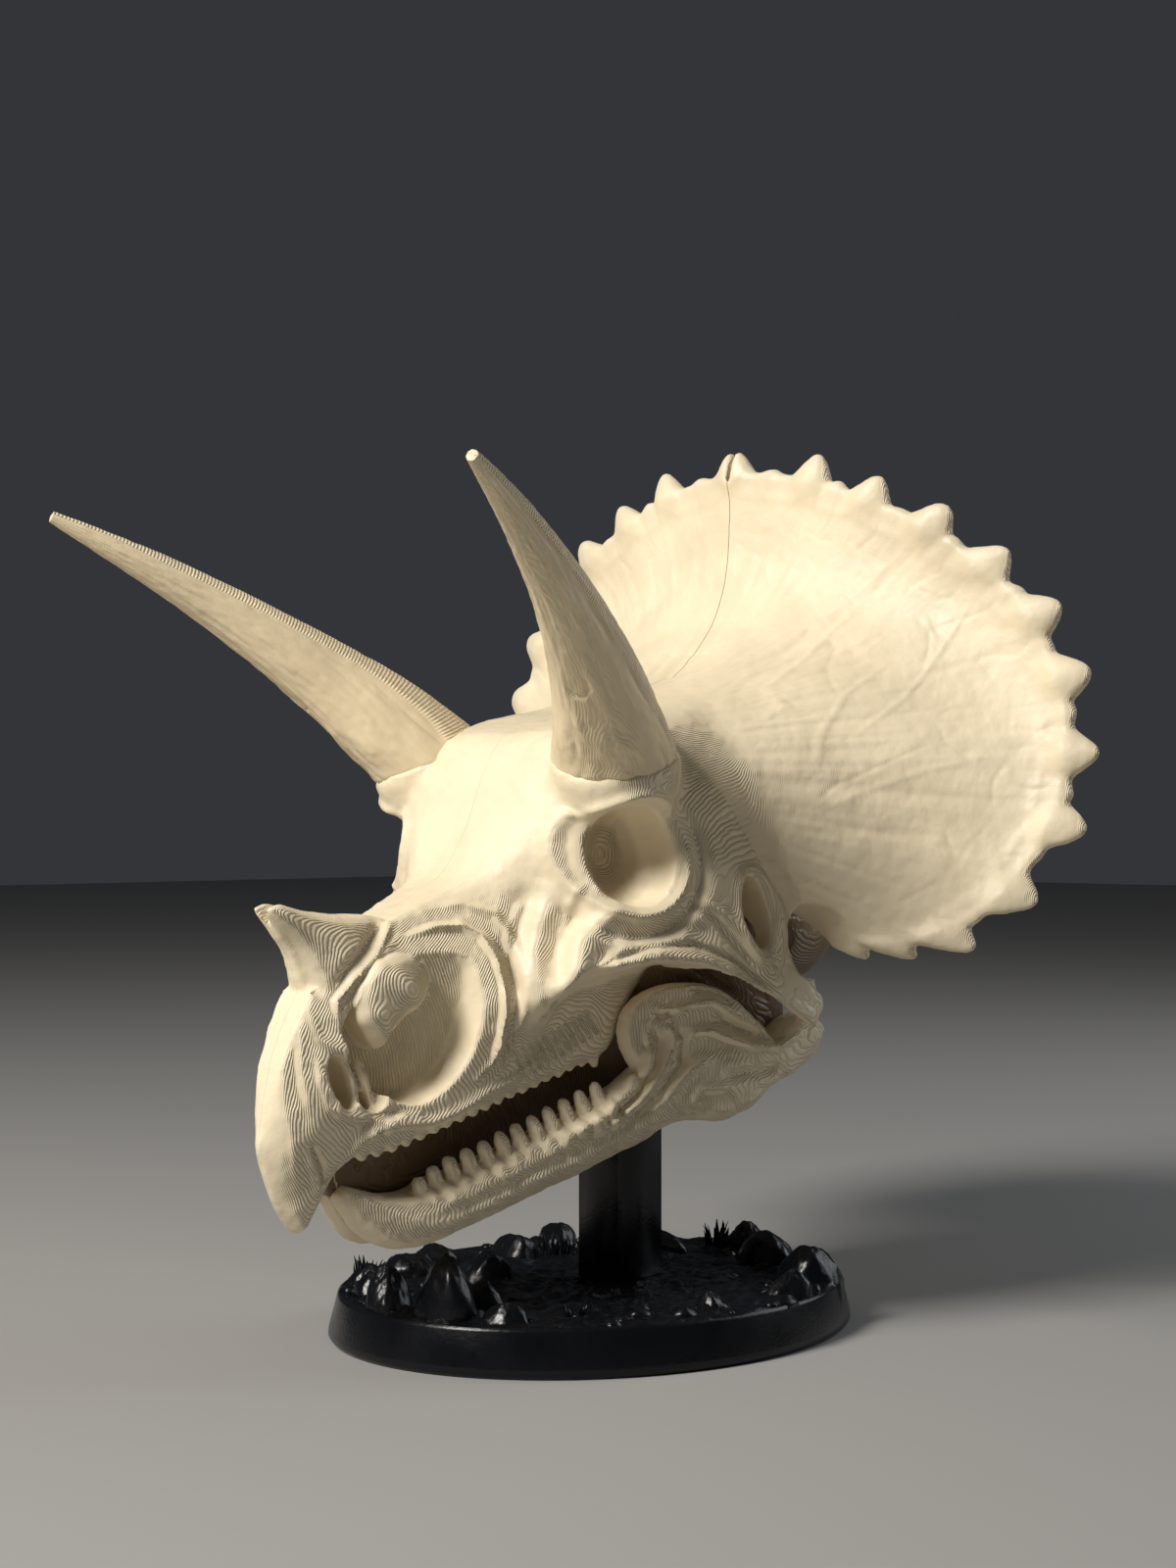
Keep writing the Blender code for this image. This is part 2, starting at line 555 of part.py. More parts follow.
def frill_ring(angle, swell=0.0):
    """Flat radial section of the frill: out along the front face and back along the rear one."""
    shares = (0.0, 0.12, 0.32, 0.58, 0.85, 1.0)
    front, rear = [], []
    for share in shares:
        thick = blend(FRILL_THICK_ROOT, FRILL_THICK_RIM, share)
        point, normal = frill_face(angle, share), frill_normal(angle, share)
        if normal.y > 0:
            normal = -normal
        front.append(point + normal * swell)
        rear.append(point - normal * (thick + swell))
    rim = (front[-1] + rear[-1]) / 2
    outward = (frill_face(angle, 1.0) - frill_face(angle, 0.95)).normalized()
    inward = (frill_face(angle, 0.0) - frill_face(angle, 0.05)).normalized() * swell
    front[0] += inward
    rear[0] += inward
    ring = front + [rim + outward * (FRILL_ROUND_RIM + swell)] + rear[::-1]
    return [onto_section(p, angle) * MM for p in ring]


def make_frill_sheet(name, swell=0.0):
    """The sheet starts a little past the glue plane, where it is cut later."""
    count = 20
    rings = [frill_ring(blend(FRILL_START, FRILL_END, i / (count - 1)), swell) for i in range(count)]
    if swell:
        rings.append(frill_ring(FRILL_END + FRILL_END_ROOM, swell))
    return loft(name, rings)


def make_spikes(name):
    """Blunt cones along the margin, leaning out in the plane of the frill."""
    sides = 5
    cones = bmesh.new()
    for angle in SPIKE_ANGLES:
        edge = frill_face(angle, 1.0)
        outward = (edge - frill_face(angle, 0.9)).normalized()
        reach = smooth(SPIKE_TIP, angle) - smooth(FRILL_MARGIN, angle)
        normal = frill_normal(angle, 1.0)
        if normal.y > 0:
            normal = -normal
        middle = edge - normal * FRILL_THICK_RIM / 2
        length = reach / max(0.5, hypot(outward.x, outward.z))
        foot = middle - outward * 4.0
        around = outward.cross(normal).normalized()
        rings = []
        for lift, size in ((0.0, 1.1), (4.0 + length, 0.16)):
            rings.append([cones.verts.new((foot + outward * lift + SPIKE_ROOT_RADIUS * size *
                                           (cos(a) * around + SPIKE_FLATNESS * sin(a) * normal)) * MM)
                          for a in (2 * pi * k / sides for k in range(sides))])
        for near, far in zip(rings, rings[1:]):
            for k in range(sides):
                j = (k + 1) % sides
                cones.faces.new((near[k], near[j], far[j], far[k]))
        cones.faces.new(rings[0])
        cones.faces.new(rings[-1])
    return place(name, cones)


def make_frill():
    frill = make_frill_sheet("frill_left")
    combine(frill, make_spikes("spikes"), "UNION")
    combine(frill, half_space("other_half", (SEAM, 0, 150), (-1, 0, 0)), "DIFFERENCE")
    return frill


# ---------------------------------------------------------------- lower jaw
def jaw_ring(s):
    """Section of one jaw half at s: inner wall, rounded top, outer bulge and rounded keel."""
    inner, outer = smooth(JAW_INNER, s), smooth(JAW_OUTER, s)
    low, high = smooth(JAW_BOTTOM, s), smooth(JAW_TOP, s)
    wide, tall = outer - inner, high - low
    outline = (
        (inner, low + 0.3 * tall),
        (inner, high - 0.15 * tall),
        (inner + 0.35 * wide, high),
        (outer - 0.12 * wide, high - 0.15 * tall),
        (outer, low + 0.4 * tall),
        (outer - 0.2 * wide, low + 0.06 * tall),
        (inner + 0.35 * wide, low),
    )
    ring = through(outline + (outline[0],), 2)[:-1]
    return [world(max(x, SEAM), s, h) for x, h in ring]


def make_jaw():
    count = 17
    jaw = loft("jaw_left", [jaw_ring(blend(JAW_TIP, JAW_END, i / (count - 1))) for i in range(count)])
    row = tooth_row("lower_teeth", LOWER_TEETH, LOWER_TEETH_SPAN,
                    lambda s: smooth(JAW_OUTER, s) * 0.55 + smooth(JAW_INNER, s) * 0.45,
                    lambda s: smooth(JAW_TOP, s) - 3.0,
                    lambda s: LOWER_TOOTH_TIP, TOOTH_RADIUS, 0.6)
    combine(jaw, row, "UNION")
    combine(jaw, joint_ball("cup", GAP), "DIFFERENCE")
    return jaw


# ---------------------------------------------------------------- stand
def oval(z, scale, sides=BASE_SIDES):
    return [Vector((BASE_WIDE * scale * cos(a), BASE_LONG * scale * sin(a), z)) * MM
            for a in (2 * pi * k / sides for k in range(sides))]


def make_base():
    """Oval plinth with boulders fused into its top."""
    base = loft("stand_base", [oval(0.0, 0.985), oval(1.5, 1.0), oval(BASE_HEIGHT, BASE_LEAN)], BLACK)
    for number, (x, y, long, wide, top, turn) in enumerate(ROCKS):
        rock = bmesh.new()
        bmesh.ops.create_icosphere(rock, subdivisions=2, radius=1.0)
        for vert in rock.verts:
            phase = 1.7 * number
            lump = 0.10 * sin(3.1 * vert.co.x + phase) + 0.08 * cos(4.3 * vert.co.y - phase)
            vert.co *= 1.0 + lump
            if vert.co.z < 0:
                vert.co.z *= 0.3
        foot = BASE_HEIGHT - ROCK_SINK
        fit = (Matrix.Translation(Vector((x, y, foot)) * MM) @ Matrix.Rotation(radians(turn), 4, "Z")
               @ Matrix.Diagonal((long * MM, wide * MM, (top - foot) / 1.1 * MM, 1.0)))
        bmesh.ops.transform(rock, matrix=fit, verts=rock.verts)
        combine(base, place("boulder", rock, BLACK), "UNION")
    return base


def make_post():
    half = POST_SIDE / 2
    post = block("stand_post", (-half, POST_Y - half, BASE_HEIGHT - 2.0), (half, POST_Y + half, POST_TOP), BLACK)
    edge = post.modifiers.new("soft_edges", "BEVEL")
    edge.width = POST_BEVEL * MM
    edge.segments = 1
    settle(post)
    return post


def socket_for_post(thing):
    """Clearance for the post in a piece it plugs into."""
    half = POST_SIDE / 2 + GAP
    room = block("post_room", (-half, POST_Y - half, BASE_HEIGHT - 2.0 - GAP), (half, POST_Y + half, POST_TOP + GAP))
    combine(thing, room, "DIFFERENCE")


def main():
    for old in list(bpy.data.objects):
        bpy.data.objects.remove(old)

    cranium = make_cranium()
    add_nose_horn(cranium)
    add_horn_collar(cranium)
    combine(cranium, make_horn("horn_room", GAP, 0.5), "DIFFERENCE")
    carve_face(cranium)
    add_mouth_wall(cranium)
    add_upper_teeth(cranium)
    thin_out(cranium, FACES_KEPT)
    combine(cranium, joint_ball("condyle", 0.0), "UNION")
    combine(cranium, make_frill_sheet("frill_room", FRILL_ROOM), "DIFFERENCE")
    combine(cranium, half_space("other_half", (SEAM, 0, 150), (-1, 0, 0)), "DIFFERENCE")
    socket_for_post(cranium)
    nose, beak = split_nose_and_beak(cranium)
    frill = make_frill()
    horn = make_horn()
    jaw = make_jaw()
    base = make_base()
    make_post()
    socket_for_post(base)
    for left in (cranium, nose, beak, frill, horn, jaw):
        mirrored(left, left.name.replace("left", "right"))


main()
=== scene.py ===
from math import cos, pi, radians, sin

import bmesh
import bpy
import numpy as np
from mathutils import Matrix, Vector


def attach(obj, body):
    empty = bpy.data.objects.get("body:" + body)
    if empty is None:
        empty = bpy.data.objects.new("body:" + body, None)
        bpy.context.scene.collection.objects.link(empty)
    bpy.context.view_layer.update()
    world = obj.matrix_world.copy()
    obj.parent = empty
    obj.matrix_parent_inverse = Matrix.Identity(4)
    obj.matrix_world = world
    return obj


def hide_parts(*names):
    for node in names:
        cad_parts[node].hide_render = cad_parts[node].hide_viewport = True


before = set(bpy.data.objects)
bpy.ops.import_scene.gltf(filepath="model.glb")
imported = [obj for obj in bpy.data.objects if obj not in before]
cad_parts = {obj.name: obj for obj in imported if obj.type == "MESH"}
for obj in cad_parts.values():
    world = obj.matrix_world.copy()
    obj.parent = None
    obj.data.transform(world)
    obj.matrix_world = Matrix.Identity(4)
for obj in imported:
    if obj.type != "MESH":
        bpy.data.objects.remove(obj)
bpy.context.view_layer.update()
mm = 0.001
print("frame loaded")


def curveAt(knots, at):
    # monotone cubic through (place, value) knots: its slope at an inner knot is the harmonic mean of the
    # slopes on both sides, or zero where those differ in sign
    x, y = np.array(knots, float).T
    at = np.clip(np.asarray(at, float), x[0], x[-1])
    grade = np.diff(y) / np.diff(x)
    slope = np.concatenate(([grade[0]], np.zeros(len(x) - 2), [grade[-1]]))
    same = grade[:-1] * grade[1:] > 0
    slope[1:-1][same] = 2 * grade[:-1][same] * grade[1:][same] / (grade[:-1] + grade[1:])[same]
    i = np.clip(np.searchsorted(x, at, side="right") - 1, 0, len(x) - 2)
    wide = x[i + 1] - x[i]
    t = (at - x[i]) / wide
    return ((2 * t ** 3 - 3 * t ** 2 + 1) * y[i] + (t ** 3 - 2 * t ** 2 + t) * wide * slope[i]
            + (3 * t ** 2 - 2 * t ** 3) * y[i + 1] + (t ** 3 - t ** 2) * wide * slope[i + 1])


def ease(low, high, at):
    # smooth step from 0 at low to 1 at high
    t = np.clip((np.asarray(at, float) - low) / (high - low), 0, 1)
    return t * t * (3 - 2 * t)


def mix(a, b, share):
    return a + (b - a) * share


def unit(v):
    return v / np.maximum(np.linalg.norm(v, axis=-1, keepdims=True), 1e-9)


def rounded(controls, steps, closed=False):
    # Catmull-Rom curve through control points, controls shaped (rows, points, axes)
    c = np.asarray(controls, float)
    ends = (c[:, -1:], c[:, :2]) if closed else (c[:, :1], c[:, -1:])
    c = np.concatenate((ends[0], c, ends[1]), axis=1)
    t = (np.arange(steps) / steps)[None, None, :, None]
    p, q, r, u = (c[:, k:c.shape[1] - 3 + k, None, :] for k in range(4))
    line = 0.5 * (2 * q + (r - p) * t + (2 * p - 5 * q + 4 * r - u) * t ** 2
                  + (3 * q - p - 3 * r + u) * t ** 3)
    line = line.reshape(c.shape[0], -1, c.shape[2])
    return line if closed else np.concatenate((line, c[:, -2:-1]), axis=1)


def hashed(ix, iy, iz, seed):
    # the same random value between 0 and 1 for the same whole numbers
    n = np.sin(ix * 127.1 + iy * 311.7 + iz * 74.7 + seed * 53.3) * 43758.5453
    return n - np.floor(n)


def noise(p, scale, seed):
    # value noise between -1 and 1: random values on a grid of cells of that size, blended smoothly
    q = p / scale
    cell = np.floor(q)
    f = q - cell
    f = f * f * (3 - 2 * f)
    out = 0
    for dx in (0, 1):
        for dy in (0, 1):
            for dz in (0, 1):
                weight = (np.abs(1 - dx - f[:, 0]) * np.abs(1 - dy - f[:, 1]) * np.abs(1 - dz - f[:, 2]))
                out = out + weight * hashed(cell[:, 0] + dx, cell[:, 1] + dy, cell[:, 2] + dz, seed)
    return out * 2 - 1


def cloud(p, scale, seed, octaves=3):
    # noise in layers, each half as large and half as strong as the last
    return sum(noise(p, scale / 2 ** k, seed + k) / 2 ** k for k in range(octaves))


def strokeField(u, v, strokes):
    # sum of ridges and grooves drawn as lines in a plane: each is (points, half width, height), with a
    # Gaussian section, and lower at both ends
    total = np.zeros(len(u))
    for points, width, height in strokes:
        pts = np.array(points, float)
        reach = 3 * width
        near = ((u > pts[:, 0].min() - reach) & (u < pts[:, 0].max() + reach)
                & (v > pts[:, 1].min() - reach) & (v < pts[:, 1].max() + reach))
        if not near.any():
            continue
        a, b = u[near], v[near]
        best = np.full(len(a), 1e9)
        place = np.zeros(len(a))
        lengths = np.linalg.norm(np.diff(pts, axis=0), axis=1)
        done = 0.0
        for k in range(len(pts) - 1):
            dx, dy = pts[k + 1] - pts[k]
            t = np.clip(((a - pts[k, 0]) * dx + (b - pts[k, 1]) * dy) / (lengths[k] ** 2), 0, 1)
            d = np.hypot(a - pts[k, 0] - t * dx, b - pts[k, 1] - t * dy)
            closer = d < best
            best = np.where(closer, d, best)
            place = np.where(closer, (done + t * lengths[k]) / lengths.sum(), place)
            done += lengths[k]
        fade = ease(0, 0.18, place) * ease(0, 0.18, 1 - place)
        total[near] += height * np.exp(-(best / width) ** 2) * (0.25 + 0.75 * fade)
    return total


def link(name, data):
    thing = bpy.data.objects.new(name, data)
    bpy.context.scene.collection.objects.link(thing)
    return thing


def gridObject(name, points):
    # closed skin over a grid of points (rows, columns, 3) in mm: columns joined round, and each end closed
    # by a fan to its middle
    rows, cols = points.shape[:2]
    index = np.arange(rows * cols).reshape(rows, cols)
    right = np.roll(index, -1, axis=1)
    faces = np.stack((index[:-1], right[:-1], right[1:], index[1:]), axis=-1).reshape(-1, 4).tolist()
    flat = np.vstack((points.reshape(-1, 3), points[0].mean(0), points[-1].mean(0)))
    n = rows * cols
    faces += [(n, b, a) for a, b in zip(index[0].tolist(), right[0].tolist())]
    faces += [(n + 1, a, b) for a, b in zip(index[-1].tolist(), right[-1].tolist())]
    mesh = bpy.data.meshes.new(name)
    mesh.from_pydata((flat * mm).tolist(), [], faces)
    mesh.validate()
    shape = bmesh.new()
    shape.from_mesh(mesh)
    bmesh.ops.remove_doubles(shape, verts=shape.verts, dist=1e-6)
    bmesh.ops.recalc_face_normals(shape, faces=shape.faces)
    shape.to_mesh(mesh)
    shape.free()
    return link(name, mesh)


def settle(thing):
    # modifiers made into mesh
    bpy.context.view_layer.update()
    mesh = bpy.data.meshes.new_from_object(thing.evaluated_get(bpy.context.evaluated_depsgraph_get()))
    thing.modifiers.clear()
    thing.data = mesh
    return thing


def combine(thing, tool, operation):
    # boolean with a closed tool, which is used up
    step = thing.modifiers.new(operation, "BOOLEAN")
    step.operation = operation
    step.solver = "MANIFOLD"
    step.object = tool
    settle(thing)
    bpy.data.objects.remove(tool)
    return thing


def join(things):
    # several closed shells in one mesh; the remesh melts them into one
    shape = bmesh.new()
    for thing in things:
        shape.from_mesh(thing.data)
    shape.to_mesh(things[0].data)
    shape.free()
    for thing in things[1:]:
        bpy.data.objects.remove(thing)
    return things[0]


def melt(thing, voxel):
    step = thing.modifiers.new("melt", "REMESH")
    step.mode = "VOXEL"
    step.voxel_size = voxel * mm
    step.adaptivity = 0
    return settle(thing)


def block(name, low, high):
    # box between two corners, mm
    x, y, z = (np.array(pair, float) for pair in zip(low, high))
    ring = np.array([(x[0], y[0]), (x[1], y[0]), (x[1], y[1]), (x[0], y[1])])
    return gridObject(name, np.array([[(a, b, level) for a, b in ring] for level in z]))


class Skin:
    # a mesh held as arrays, mm, for sculpting
    def __init__(self, thing):
        self.thing = thing
        mesh = thing.data
        self.p = np.empty(len(mesh.vertices) * 3)
        mesh.vertices.foreach_get("co", self.p)
        self.p = self.p.reshape(-1, 3) / mm
        edges = np.empty(len(mesh.edges) * 2, int)
        mesh.edges.foreach_get("vertices", edges)
        self.a, self.b = edges.reshape(-1, 2).T
        n = len(self.p)
        self.degree = np.maximum(np.bincount(self.a, minlength=n) + np.bincount(self.b, minlength=n), 1)

    def spread(self, values):
        # mean of each vertex's neighbours
        n = len(self.p)
        if values.ndim == 1:
            total = np.bincount(self.a, values[self.b], n) + np.bincount(self.b, values[self.a], n)
            return total / self.degree
        return np.stack([self.spread(values[:, k]) for k in range(values.shape[1])], axis=1)

    def soften(self, times, mask=1.0):
        # each vertex half way to its neighbours' mean, as far as the mask lets it
        mask = np.asarray(mask, float)
        mask = mask[:, None] if mask.ndim else mask
        for _ in range(times):
            self.p = self.p + 0.5 * mask * (self.spread(self.p) - self.p)

    def normals(self):
        self.store()
        out = np.empty(len(self.p) * 3)
        self.thing.data.vertex_normals.foreach_get("vector", out)
        return out.reshape(-1, 3)

    def store(self):
        self.thing.data.vertices.foreach_set("co", (self.p * mm).ravel())
        self.thing.data.update()

    def push(self, amount):
        # out along the normals, mm
        self.p = self.p + self.normals() * amount[:, None]
        self.store()


def writeAttribute(thing, name, values):
    held = thing.data.attributes.get(name) or thing.data.attributes.new(name, "FLOAT", "POINT")
    held.data.foreach_set("value", np.asarray(values, np.float32))


def duplicate(thing, name):
    return link(name, thing.data.copy())


def mirrored(thing, name):
    # the same piece for the other half, across the glue plane
    twin = duplicate(thing, name)
    shape = bmesh.new()
    shape.from_mesh(twin.data)
    bmesh.ops.transform(shape, matrix=Matrix.Scale(-1, 4, (1, 0, 0)), verts=shape.verts)
    bmesh.ops.reverse_faces(shape, faces=shape.faces)
    shape.to_mesh(twin.data)
    shape.free()
    return twin


def smoothShade(thing, angle=55):
    thing.data.shade_smooth()
    thing.data.set_sharp_from_angle(angle=radians(angle))


# the skull's own frame: s back along the tooth line, h up from it, mm
skullPose = dict(noseDown=20.0, mouthY=-104.0, mouthZ=54.0)
tiltCos, tiltSin = cos(radians(skullPose["noseDown"])), sin(radians(skullPose["noseDown"]))


def toWorld(x, s, h):
    x, s, h = np.broadcast_arrays(*(np.asarray(v, float) for v in (x, s, h)))
    return np.stack((x, skullPose["mouthY"] + s * tiltCos - h * tiltSin,
                     skullPose["mouthZ"] + s * tiltSin + h * tiltCos), axis=-1)


def toSkull(p):
    y, z = p[..., 1] - skullPose["mouthY"], p[..., 2] - skullPose["mouthZ"]
    return p[..., 0], y * tiltCos + z * tiltSin, -y * tiltSin + z * tiltCos


def globe(rows, cols):
    # directions on a latitude by longitude grid, without the poles
    lat = np.linspace(-pi / 2, pi / 2, rows)[1:-1, None]
    lon = np.linspace(0, 2 * pi, cols, endpoint=False)[None, :]
    return np.cos(lat) * np.cos(lon), np.cos(lat) * np.sin(lon), np.sin(lat) * np.ones_like(lon)


def ball(name, centre, radii, turn, rows=28, cols=48):
    # stretched ball at a skull point, turned about the skull's upright
    x, s, h = (radius * way for radius, way in zip(radii, globe(rows, cols)))
    t = radians(turn)
    along = centre[1] + x * sin(t) + s * cos(t)
    return gridObject(name, toWorld(centre[0] + x * cos(t) - s * sin(t), along, centre[2] + h))


# skull of one half: curves over s, half widths and heights, mm
cranium = dict(
    roofLine=((-16, 14), (-12.5, 19.5), (-6, 30.5), (3, 40.5), (11, 47.5), (26, 54), (45, 56), (66, 57.5),
              (80, 66), (95, 81), (106, 86.5), (125, 85), (150, 82), (175, 81)),
    roofHalf=((-16, 0.8), (-8, 4.5), (10, 7), (40, 9), (66, 15), (85, 27), (105, 40), (135, 40), (160, 30),
              (175, 20)),
    sideHalf=((-16, 1.2), (-12, 5.5), (-6, 8.5), (6, 12), (28, 18), (56, 25), (80, 36), (95, 44),
              (112, 51), (130, 53), (150, 52), (162, 44), (175, 24)),
    sideHeight=((-16, 8), (0, 20), (28, 28), (66, 36), (95, 54), (112, 50), (168, 46)),
    cheekHalf=((-16, 1.2), (-12, 5), (-6, 7.8), (6, 11.5), (28, 18.5), (56, 28), (72, 43), (92, 51),
               (120, 56), (142, 56), (150, 54), (160, 47), (175, 22)),
    cheekEdge=((-16, 5), (0, 10), (28, 14), (56, 22), (72, 27.5), (92, 25), (110, 15), (125, 4), (137, -8),
               (141.5, -12), (144.5, -10), (147, 0), (150, 12), (161, 26), (175, 50)),
    gumHalf=((-16, 1), (-10, 4.5), (0, 8), (28, 18), (56, 24), (80, 28), (100, 30), (130, 30), (160, 26),
             (175, 18)),
    gumLine=((-16, 1), (-14.6, -5), (-12.6, -10.6), (-10.4, -12.7), (-8.6, -10.6), (-2, -3.8), (6, 2.5),
             (20, 1.5), (60, 1), (85, 0), (96, 8), (108, 18), (150, 24), (175, 50)),
    palate=((-16, 1.5), (-12.6, -10), (-10.4, -12.2), (-8.6, -10), (-2, -3), (8, 3.5), (60, 5), (96, 16),
            (150, 26), (175, 54)),
    ends=(-15.6, 173.0), stations=170, perSpan=8, past=-4.0)


def craniumForm():
    # cross-sections at many s, each a rounded line over roof, side, cheek edge, gum and palate
    c = cranium
    s = np.linspace(*c["ends"], c["stations"])
    roof, crown = curveAt(c["roofLine"], s), curveAt(c["roofHalf"], s)
    side, sideH = curveAt(c["sideHalf"], s), curveAt(c["sideHeight"], s)
    cheek, cheekH = curveAt(c["cheekHalf"], s), curveAt(c["cheekEdge"], s)
    gum, gumH = curveAt(c["gumHalf"], s), curveAt(c["gumLine"], s)
    palate = curveAt(c["palate"], s)
    opened = ease(50, 76, s)
    dropToGum = np.where(cheekH > gumH, 0.75 * (cheekH - gumH), -2.0)
    inner = np.maximum(gum + 3, cheek - 9 - 8 * ease(96, 110, 220 - s))
    past = np.full_like(s, c["past"])
    outline = ((past, roof), (crown * 0.55, roof - 0.4), (crown, roof - 0.12 * crown - 1), (side, sideH),
               (cheek, cheekH + 3 * opened),
               (mix((cheek + gum) / 2, cheek - 3, opened), mix((cheekH + gumH) / 2, cheekH, opened)),
               (mix(gum + 0.3, inner, opened), gumH + mix(3.0, dropToGum, opened)),
               (gum, gumH + 0.8), (gum * 0.86, gumH), (gum * 0.62, mix(gumH, palate, 0.7)), (past, palate))
    ring = rounded(np.stack([np.stack(pair, -1) for pair in outline], axis=1), c["perSpan"])
    return gridObject("craniumForm", toWorld(ring[..., 0], s[:, None], ring[..., 1]))


# nose horn: front and rear edge and half width over h, mm
noseHorn = dict(
    front=((42, 10.5), (55, 10.9), (64.5, 8.5), (72.2, 5.9)),
    rear=((42, 44), (54, 43), (58, 39), (63.5, 25), (68.5, 16.5), (72.2, 12.0)),
    half=((42, 12), (54, 9.8), (63, 7.0), (70, 5.2), (72.2, 4.0)), foot=42.0, top=72.2)
# gaps where the two halves don't quite meet: centre (x, s, h), radii, turn
seamGaps = (((0, 9.0, 74.5), (2.1, 9.0, 6.5), 0.0), ((0, 5.0, 62.0), (0.9, 4.0, 17.0), 0.0),
            ((0, 226.2, 141.0), (0.9, 10.0, 22.0), 0.0))


def noseHornForm():
    # half ellipses between the horn's front and rear edges, stacked upwards
    n = noseHorn
    h = np.linspace(n["foot"], n["top"], 26)[:, None]
    front, rear, out = curveAt(n["front"], h), curveAt(n["rear"], h), curveAt(n["half"], h)
    turn = np.linspace(0, pi, 26)[None, :]
    x = out * np.sin(turn) ** 0.8
    s = (front + rear) / 2 - (rear - front) / 2 * np.cos(turn)
    past = np.full_like(front, cranium["past"])
    x = np.concatenate((past, x, past), axis=1)
    s = np.concatenate((front, s, rear), axis=1)
    return gridObject("noseHornForm", toWorld(x, s, h * np.ones_like(s)))


# openings of the face: centre (x, s, h), radii (out, along, up), turn forward in degrees
openings = dict(
    orbit=((46.5, 96.8, 53.2), (16.0, 12.6, 14.2), -24.0),
    temporal=((53, 129.0, 24.5), (16, 5.4, 11.0), 0.0),
    notch=((57, 147.3, 8.3), (19.0, 8.8, 11.0), 0.0),
    nostrilHole=((8.5, 20.5, 22.0), (4.5, 2.4, 2.6), -10.0))
# outlines (s, h) of the nostril and of the small hollow in front of it, cut in from the side: the floor's
# distance from the glue plane, its rise over s, where the cut starts, and how far it narrows
nostril = dict(
    outline=((13.5, 35.5), (18, 40), (24, 43.6), (31, 46), (39, 47.2), (46, 46.4), (51.2, 43.5),
             (53.4, 39), (52, 33.5), (49.5, 27), (46, 21), (41.5, 15.5), (36, 11.8), (30, 10),
             (24.5, 10.4), (20.4, 13.5), (17.6, 18.5), (15.6, 25), (13.6, 30.5)),
    floor=9.0, rise=0.42, mouth=40.0, shrink=0.95)
fossa = dict(
    outline=((4.9, 23), (5.9, 28), (8.4, 30.6), (11.0, 28), (12.0, 22.5), (10.9, 17.6), (8.0, 16),
             (5.6, 18.4)),
    floor=2.5, rise=0.0, mouth=30.0, shrink=0.9)
# shallow pocket between the two, crossed by thin bars
pocket = dict(
    outline=((10.4, 22), (11.5, 28), (14, 31), (17, 29), (18.6, 22), (18.4, 15), (15.4, 12.4), (11.8, 15)),
    floor=7.0, rise=0.25, mouth=40.0, shrink=0.9)
# folded bone that stands inside the nostril: its edge (s, h), and its domed face as distances from the glue
# plane over the share of the way out
noseBone = dict(
    outline=((18.6, 36.5), (21, 41.6), (26, 46.2), (32.5, 48.4), (39, 47), (43.4, 43), (44.6, 37.6),
             (42.4, 33.8), (38, 31.6), (33.5, 31.2), (29, 28.6), (26, 28.4), (23, 25.6), (21, 28.6),
             (20, 32)),
    face=((0, 16.6), (0.35, 16.3), (0.7, 15.2), (0.9, 13.4), (1.0, 11.0)), back=4.0, slant=0.12)
# rear wall that the notch is sunk into: centre, radii, turn
notchWall = ((35.5, 157.0, 8.0), (9.0, 23.0, 16.5), -10.0)
# bars that cross the pocket
noseBars = (((8.6, 12.6, 21.0), (2.6, 1.3, 8.0), 0.0), ((9.6, 16.2, 19.6), (2.6, 1.2, 7.6), 0.0))


def noseBoneForm():
    # a domed plate: rings that shrink towards the middle, folded by low waves, closed behind
    n = noseBone
    line = rounded([n["outline"]], 8, closed=True)[0]
    middle = line.mean(0)
    size = np.concatenate((np.linspace(0.04, 1.0, 22), [0.97, 0.93]))[:, None]
    s = middle[0] + (line[None, :, 0] - middle[0]) * size
    h = middle[1] + (line[None, :, 1] - middle[1]) * size
    fold = 0.8 * np.sin(0.40 * (s - 30) + 0.16 * (h - 40)) + 0.3 * np.sin(0.5 * (h - 34) - 0.2 * s)
    x = curveAt(n["face"], size) + fold * (1 - size ** 4) + n["slant"] * (h - middle[1])
    x[-2:] = [[8.5], [n["back"]]]
    return gridObject("noseBoneForm", toWorld(x, s, h))


def sideCutter(spec):
    # the outline pushed in from the side, narrowing to a rounded floor that rises with s
    line = rounded([spec["outline"]], 8, closed=True)[0]
    middle = line.mean(0)
    inward = np.linspace(0, 1, 10)
    narrow = 1 - (1 - spec["shrink"]) * (1 - np.sqrt(inward)) - 0.5 * (1 - inward) ** 6
    narrow = np.concatenate((narrow, [1.06]))[:, None]
    s = middle[0] + (line[None, :, 0] - middle[0]) * narrow
    h = middle[1] + (line[None, :, 1] - middle[1]) * narrow
    low = spec["floor"] + spec["rise"] * (s - middle[0])
    lift = np.concatenate((1 - np.cos(inward * pi / 2), [2.0]))[:, None]
    x = np.where(lift <= 1, mix(low, low + 7, lift), spec["mouth"])
    return gridObject("hollow", toWorld(x, s, h))


